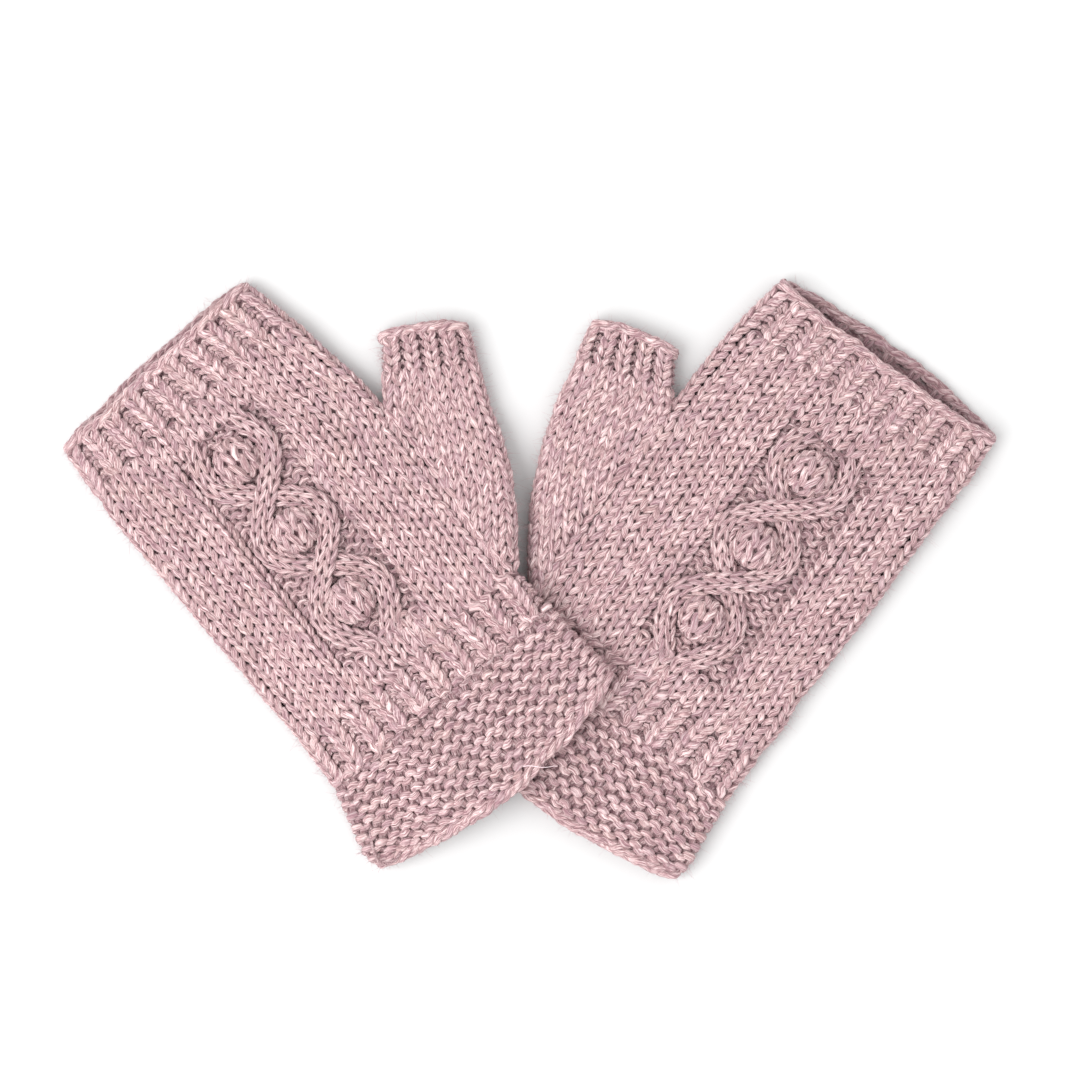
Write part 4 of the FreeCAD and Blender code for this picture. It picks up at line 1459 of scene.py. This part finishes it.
class Halo:
    """Fine loose fibres that stand out of the wool."""

    def __init__(self, seed: int, share: float, longest: float) -> None:
        """Set out the fibres.

        Args:
            seed: makes them the same each time.
            share: how many there are for each millimetre of yarn.
            longest: the longest fibre, in millimetres.
        """
        self.draw = np.random.default_rng(seed)
        self.share = share
        self.longest = longest

    def grow(self, piece: YarnPiece, halo: YarnPiece) -> None:
        """Grow fibres from a piece's runs of yarn.

        Args:
            piece: the piece, with its runs laid.
            halo: the piece that the fibres are part of.
        """
        for run in [laid for laid in piece.runs if laid.around == 8]:
            length = abs(float(run.along[-1] - run.along[0]))
            for _ in range(self.draw.poisson(length * self.share)):
                halo.add(self.fibre(run))

    def fibre(self, run: Run) -> Run:
        """Draw one curled fibre that starts inside a run of yarn."""
        draw = self.draw
        spot = int(draw.integers(1, len(run.points) - 1))
        ahead = unit(run.points[spot + 1] - run.points[spot - 1])
        outward = run.outward[spot]
        side = unit(np.cross(ahead, outward))
        turn = draw.normal(0, 0.9)
        away = outward * math.cos(turn) + side * math.sin(turn)
        reach = float(np.clip(draw.gamma(2.0, 0.75), 0.8, self.longest))
        lean = draw.normal(0, 0.9)
        start = run.points[spot] + away * 0.5
        facing = unit(away + ahead * lean)
        bend = unit(draw.normal(0, 1, 3)) * draw.uniform(0.2, 1.1)
        at = np.linspace(0, 1, 5)
        points = start + facing * (at * reach)[:, None] + bend * (at**2 * reach * 0.6)[:, None]
        points[:, 2] = np.maximum(points[:, 2], 0.12)
        along = run.along[spot] + at * reach * 0.3
        size = 0.048 * (1 - 0.6 * at)
        flat = np.broadcast_to(unit(np.cross(facing, bend) + 1e-3), points.shape)
        return Run(points, flat, along, size, size, around=3)


# ---------------------------------------------------------------- wool


def linear(code: str) -> tuple[float, float, float, float]:
    """Turn an sRGB hex colour into a linear one."""
    values = [int(code[start:start + 2], 16) / 255 for start in (1, 3, 5)]
    turned = [
        value / 12.92 if value <= 0.04045 else ((value + 0.055) / 1.055) ** 2.4 for value in values
    ]
    return (*turned, 1.0)


def add_node(
    tree: bpy.types.NodeTree, kind: str, settings: dict[str, object] | None = None,
    links: dict[str | int, bpy.types.NodeSocket] | None = None,
    values: dict[str | int, object] | None = None,
) -> bpy.types.Node:
    """Add a node with its settings, links and socket values.

    Args:
        tree: the node tree.
        kind: the node's type.
        settings: its own settings.
        links: sockets that feed its inputs.
        values: values of its inputs.

    Returns:
        The node.
    """
    node = tree.nodes.new(kind)
    for name, value in (settings or {}).items():
        setattr(node, name, value)
    for name, value in (values or {}).items():
        node.inputs[name].default_value = value
    for name, socket in (links or {}).items():
        tree.links.new(socket, node.inputs[name])
    return node


@dataclass(frozen=True)
class PliedWool:
    """Soft three-ply wool, spun from dyed fibres of slightly different pinks and heathered.

    Each ply shows as a rounded groove that runs round the yarn, darkened by painted shade, single
    fibres as fine paler and darker streaks along it, and the dye lies unevenly over some
    centimetres.
    Real fibres are 0.02 mm thick, so the streaks are drawn coarser, as bundles that show.
    Painted shade darkens wool that lies deep between stitches, on a yarn's underside and round
    strands and bobbles.
    """

    deep: str = "#8C6A6F"
    body: str = "#CDA8AA"
    pale: str = "#F2DCDB"
    painted_crevice_shade: str = "#5E4047"        # painted shade: wool that lies deep between the stitches or on a yarn's underside
    beige: str = "#BDA297"
    mauve: str = "#9A7885"
    roughness: float = 0.92
    sheen: float = 0.35
    plies: float = 3.0
    fibre: float = 0.34             # width of a streak of fibres, in millimetres
    streak: float = 3.0             # length of a streak
    patch: float = 26.0             # length of yarn over which the dye changes

    def build(self) -> bpy.types.Material:
        """Make the material.

        Returns:
            The wool.
        """
        made = bpy.data.materials.new("plied_wool")
        made.use_nodes = True
        tree = made.node_tree
        tree.nodes.clear()
        place = add_node(tree, "ShaderNodeAttribute", {"attribute_name": "yarn"})
        parts = add_node(tree, "ShaderNodeSeparateXYZ", links={0: place.outputs["Vector"]})
        turn = add_node(
            tree, "ShaderNodeMath", {"operation": "ARCTAN2"},
            {0: parts.outputs["Y"], 1: parts.outputs["X"]},
        )
        wave = add_node(
            tree, "ShaderNodeMath", {"operation": "MULTIPLY"}, {0: turn.outputs[0]}, {1: self.plies}
        )
        ply = add_node(tree, "ShaderNodeMath", {"operation": "COSINE"}, {0: wave.outputs[0]})
        round_x = add_node(
            tree, "ShaderNodeMath", {"operation": "MULTIPLY"},
            {0: parts.outputs["X"]}, {1: YARN_HALF / self.fibre},
        )
        round_y = add_node(
            tree, "ShaderNodeMath", {"operation": "MULTIPLY"},
            {0: parts.outputs["Y"]}, {1: YARN_HALF / self.fibre},
        )
        along = add_node(
            tree, "ShaderNodeMath", {"operation": "MULTIPLY"},
            {0: parts.outputs["Z"]}, {1: 1 / self.streak},
        )
        flat_place = add_node(
            tree, "ShaderNodeCombineXYZ", links={"X": parts.outputs["X"], "Y": parts.outputs["Y"]}
        )
        fibres_at = add_node(
            tree, "ShaderNodeCombineXYZ",
            links={"X": round_x.outputs[0], "Y": round_y.outputs[0], "Z": along.outputs[0]},
        )
        fibres = add_node(
            tree, "ShaderNodeTexNoise", links={"Vector": fibres_at.outputs[0]},
            values={"Scale": 1.0, "Detail": 3.0, "Roughness": 0.65},
        )
        slow = add_node(
            tree, "ShaderNodeMath", {"operation": "MULTIPLY"},
            {0: parts.outputs["Z"]}, {1: 1 / self.patch},
        )
        dye = add_node(
            tree, "ShaderNodeTexNoise", {"noise_dimensions": "1D"}, {"W": slow.outputs[0]},
            {"Scale": 1.0, "Detail": 2.0},
        )
        tint_at = add_node(             # another part of the same slow pattern
            tree, "ShaderNodeMath", {"operation": "ADD"}, {0: slow.outputs[0]}, {1: 57.3}
        )
        tint = add_node(
            tree, "ShaderNodeTexNoise", {"noise_dimensions": "1D"}, {"W": tint_at.outputs[0]},
            {"Scale": 0.8, "Detail": 1.0},
        )
        tones = add_node(tree, "ShaderNodeValToRGB", links={"Fac": fibres.outputs["Fac"]})
        ramp = tones.color_ramp
        ramp.elements[0].position, ramp.elements[0].color = 0.41, linear(self.deep)
        ramp.elements[1].position, ramp.elements[1].color = 0.6, linear(self.pale)
        ramp.elements.new(0.5).color = linear(self.body)
        mauve_share = add_node(
            tree, "ShaderNodeMapRange", links={"Value": dye.outputs["Fac"]},
            values={"From Min": 0.42, "From Max": 0.72, "To Max": 0.4},
        )
        mauve = add_node(
            tree, "ShaderNodeMix", {"data_type": "RGBA"},
            {0: mauve_share.outputs[0], 6: tones.outputs["Color"]}, {7: linear(self.mauve)},
        )
        beige_share = add_node(
            tree, "ShaderNodeMapRange", links={"Value": tint.outputs["Fac"]},
            values={"From Min": 0.45, "From Max": 0.75, "To Max": 0.2},
        )
        beige = add_node(
            tree, "ShaderNodeMix", {"data_type": "RGBA"},
            {0: beige_share.outputs[0], 6: mauve.outputs[2]}, {7: linear(self.beige)},
        )
        # painted shade: the colour is darkened in the grooves between the plies
        groove = add_node(
            tree, "ShaderNodeMapRange", links={"Value": ply.outputs[0]},
            values={"From Min": -1.0, "From Max": -0.3, "To Min": 0.78, "To Max": 1.0},
        )
        shade = add_node(
            tree, "ShaderNodeMix", {"data_type": "RGBA", "blend_type": "MULTIPLY"},
            {6: beige.outputs[2], 7: groove.outputs[0]}, {0: 1.0},
        )
        # painted shade: read back from the shortened twist radius and mixed in as dark mauve
        unshaded_radius_length = add_node(
            tree, "ShaderNodeVectorMath", {"operation": "LENGTH"}, {0: flat_place.outputs[0]}
        )
        painted_shade_share = add_node(
            tree, "ShaderNodeMapRange", links={"Value": unshaded_radius_length.outputs["Value"]},
            values={"From Min": 0.6, "From Max": 1.0, "To Min": 0.72, "To Max": 0.0},
        )
        wool_colour = add_node(
            tree, "ShaderNodeMix", {"data_type": "RGBA"},
            {0: painted_shade_share.outputs[0], 6: shade.outputs[2]}, {7: linear(self.painted_crevice_shade)},
        )
        height = add_node(
            tree, "ShaderNodeMath", {"operation": "MULTIPLY_ADD"},
            {0: fibres.outputs["Fac"], 2: ply.outputs[0]}, {1: 1.2},
        )
        bump = add_node(
            tree, "ShaderNodeBump", links={"Height": height.outputs[0]},
            values={"Strength": 0.8, "Distance": 0.0002},
        )
        wool = add_node(
            tree, "ShaderNodeBsdfPrincipled",
            links={"Base Color": wool_colour.outputs[2], "Normal": bump.outputs[0]},
            values={
                "Roughness": self.roughness, "IOR": 1.45, "Specular IOR Level": 0.25,
                "Sheen Weight": self.sheen, "Sheen Roughness": 0.5, "Sheen Tint": linear(self.pale),
            },
        )
        add_node(tree, "ShaderNodeOutputMaterial", links={"Surface": wool.outputs[0]})
        return made


@dataclass(frozen=True)
class LooseFibre:
    """Single wool fibres, too fine to hold much colour, which blur the glove's outline."""

    name: str = "loose_wool_fibre"
    colour: str = "#C9A2A6"
    darker: str = "#A97F86"
    roughness: float = 0.7

    def build(self) -> bpy.types.Material:
        """Make the material.

        Returns:
            The fibres' finish.
        """
        made = bpy.data.materials.new(self.name)
        made.use_nodes = True
        tree = made.node_tree
        tree.nodes.clear()
        place = add_node(tree, "ShaderNodeAttribute", {"attribute_name": "yarn"})
        parts = add_node(tree, "ShaderNodeSeparateXYZ", links={0: place.outputs["Vector"]})
        tint = add_node(
            tree, "ShaderNodeTexNoise", {"noise_dimensions": "1D"}, {"W": parts.outputs["Z"]},
            {"Scale": 0.35},
        )
        tone = add_node(
            tree, "ShaderNodeMix", {"data_type": "RGBA"}, {0: tint.outputs["Fac"]},
            {6: linear(self.darker), 7: linear(self.colour)},
        )
        fibre = add_node(
            tree, "ShaderNodeBsdfPrincipled", links={"Base Color": tone.outputs[2]},
            values={"Roughness": self.roughness, "IOR": 1.55},
        )
        add_node(tree, "ShaderNodeOutputMaterial", links={"Surface": fibre.outputs[0]})
        return made


# ---------------------------------------------------------------- floor, light and camera


@dataclass(frozen=True)
class Studio:
    """A white floor, soft light from above and the left, and a camera straight over the pair."""

    floor_colour: str = "#CFCFCF"
    distance: float = 0.9
    view: float = 0.366             # side of the square that the camera sees, at the surface
    shift_x: float = 0.0034
    shift_y: float = 0.0125
    world_strength: float = 1.25
    key_power: float = 15.0
    key_size: float = 0.9
    floor_half: float = 4.0

    def build(self) -> None:
        """Make the floor, the lights and the camera."""
        low, high = CAD_BOX
        middle = ((low[0] + high[0]) / 2, (low[1] + high[1]) / 2)
        mesh = bpy.data.meshes.new("floor")
        far = self.floor_half
        spots = [(-far, -far, 0), (far, -far, 0), (far, far, 0), (-far, far, 0)]
        mesh.from_pydata(spots, [], [(0, 1, 2, 3)])
        floor = bpy.data.objects.new("floor", mesh)
        bpy.context.scene.collection.objects.link(floor)
        paper = bpy.data.materials.new("white_paper")
        paper.use_nodes = True
        surface = paper.node_tree.nodes["Principled BSDF"]
        surface.inputs["Base Color"].default_value = linear(self.floor_colour)
        surface.inputs["Roughness"].default_value = 0.9
        surface.inputs["Specular IOR Level"].default_value = 0.2
        mesh.materials.append(paper)
        world = bpy.data.worlds.new("studio_white")
        world.use_nodes = True
        world.node_tree.nodes["Background"].inputs["Color"].default_value = (1, 1, 1, 1)
        world.node_tree.nodes["Background"].inputs["Strength"].default_value = self.world_strength
        bpy.context.scene.world = world
        spot = (middle[0] - 0.75, middle[1] - 0.25, 1.1)
        self.light("key", spot, middle, self.key_power, self.key_size)
        bpy.context.scene.view_settings.view_transform = "Standard"
        lens = bpy.data.cameras.new("camera")
        lens.sensor_width = 36.0
        lens.lens = 36.0 * self.distance / self.view
        camera = bpy.data.objects.new("camera", lens)
        camera.location = (middle[0] + self.shift_x, middle[1] + self.shift_y, self.distance)
        bpy.context.scene.collection.objects.link(camera)
        bpy.context.scene.camera = camera

    def light(
        self, name: str, spot: tuple[float, float, float], aim: tuple[float, float],
        power: float, size: float,
    ) -> None:
        """Add a soft square light that faces the pair.

        Args:
            name: its name.
            spot: where it stands.
            aim: the point on the floor that it faces.
            power: its power in watts.
            size: its side in metres.
        """
        data = bpy.data.lights.new(name, "AREA")
        data.energy = power
        data.size = size
        lamp = bpy.data.objects.new(name, data)
        lamp.location = spot
        facing = Vector((aim[0] - spot[0], aim[1] - spot[1], -spot[2]))
        lamp.rotation_euler = facing.to_track_quat("-Z", "Y").to_euler()
        bpy.context.scene.collection.objects.link(lamp)


# ---------------------------------------------------------------- the pair


def left_plan() -> GlovePlan:
    """Return the outline of the left glove, whose cuff lies over the right one's."""
    return GlovePlan(
        hand="left", side=1, cuff_outer=51.0, cuff_inner=49.5, edge_bow=8.5, waist=48.0,
        top_outer=41.4, top_inner=38.0, outer_length=176.6, inner_length=180.7,
        gusset_bulge=4.0, panel_offset=0.0, thumb_base=33.4, thumb_inset=3.2, thumb_tip=27.0,
        thumb_inner=26.4, thumb_outer=25.3, top_bows=(-0.4, 2.4), lifted=True,
        side_bow=2.0, hand_outer=44.3,
    )


def right_plan() -> GlovePlan:
    """Return the outline of the right glove."""
    return GlovePlan(
        hand="right", side=-1, cuff_outer=47.4, cuff_inner=57.3, edge_bow=8.0, waist=49.0,
        top_outer=44.1, top_inner=43.4, outer_length=183.0, inner_length=182.0,
        gusset_bulge=5.6, panel_offset=-2.0, thumb_base=35.4, thumb_inset=4.0, thumb_tip=26.4,
        thumb_inner=19.6, thumb_outer=23.5, top_bows=(-2.2, 4.4), lifted=False,
        side_bow=1.2,
    )


def main() -> None:
    """Build the pair, its wool, the light and the camera."""
    logging.basicConfig(level=logging.INFO, format="%(message)s")
    wool, loose = PliedWool().build(), LooseFibre().build()
    stray = LooseFibre("stray_wool_fibre", "#F6E4E8", "#E3C8CF").build()
    right = KnittedGlove(
        right_plan(), SEED, garter_rows=14, hand_rows=31, thumb_columns=9, thumb_rows=2,
        wool=wool, loose=loose, stray=stray,
    )
    left = KnittedGlove(
        left_plan(), SEED + 500, garter_rows=15, hand_rows=30, thumb_columns=8, thumb_rows=3,
        wool=wool, loose=loose, stray=stray,
    )
    for glove in (right, left):
        glove.build()
        log.info("%s glove: %d pieces", glove.plan.hand, len(glove.pieces))
    Studio().build()


if __name__ == "__main__":
    main()
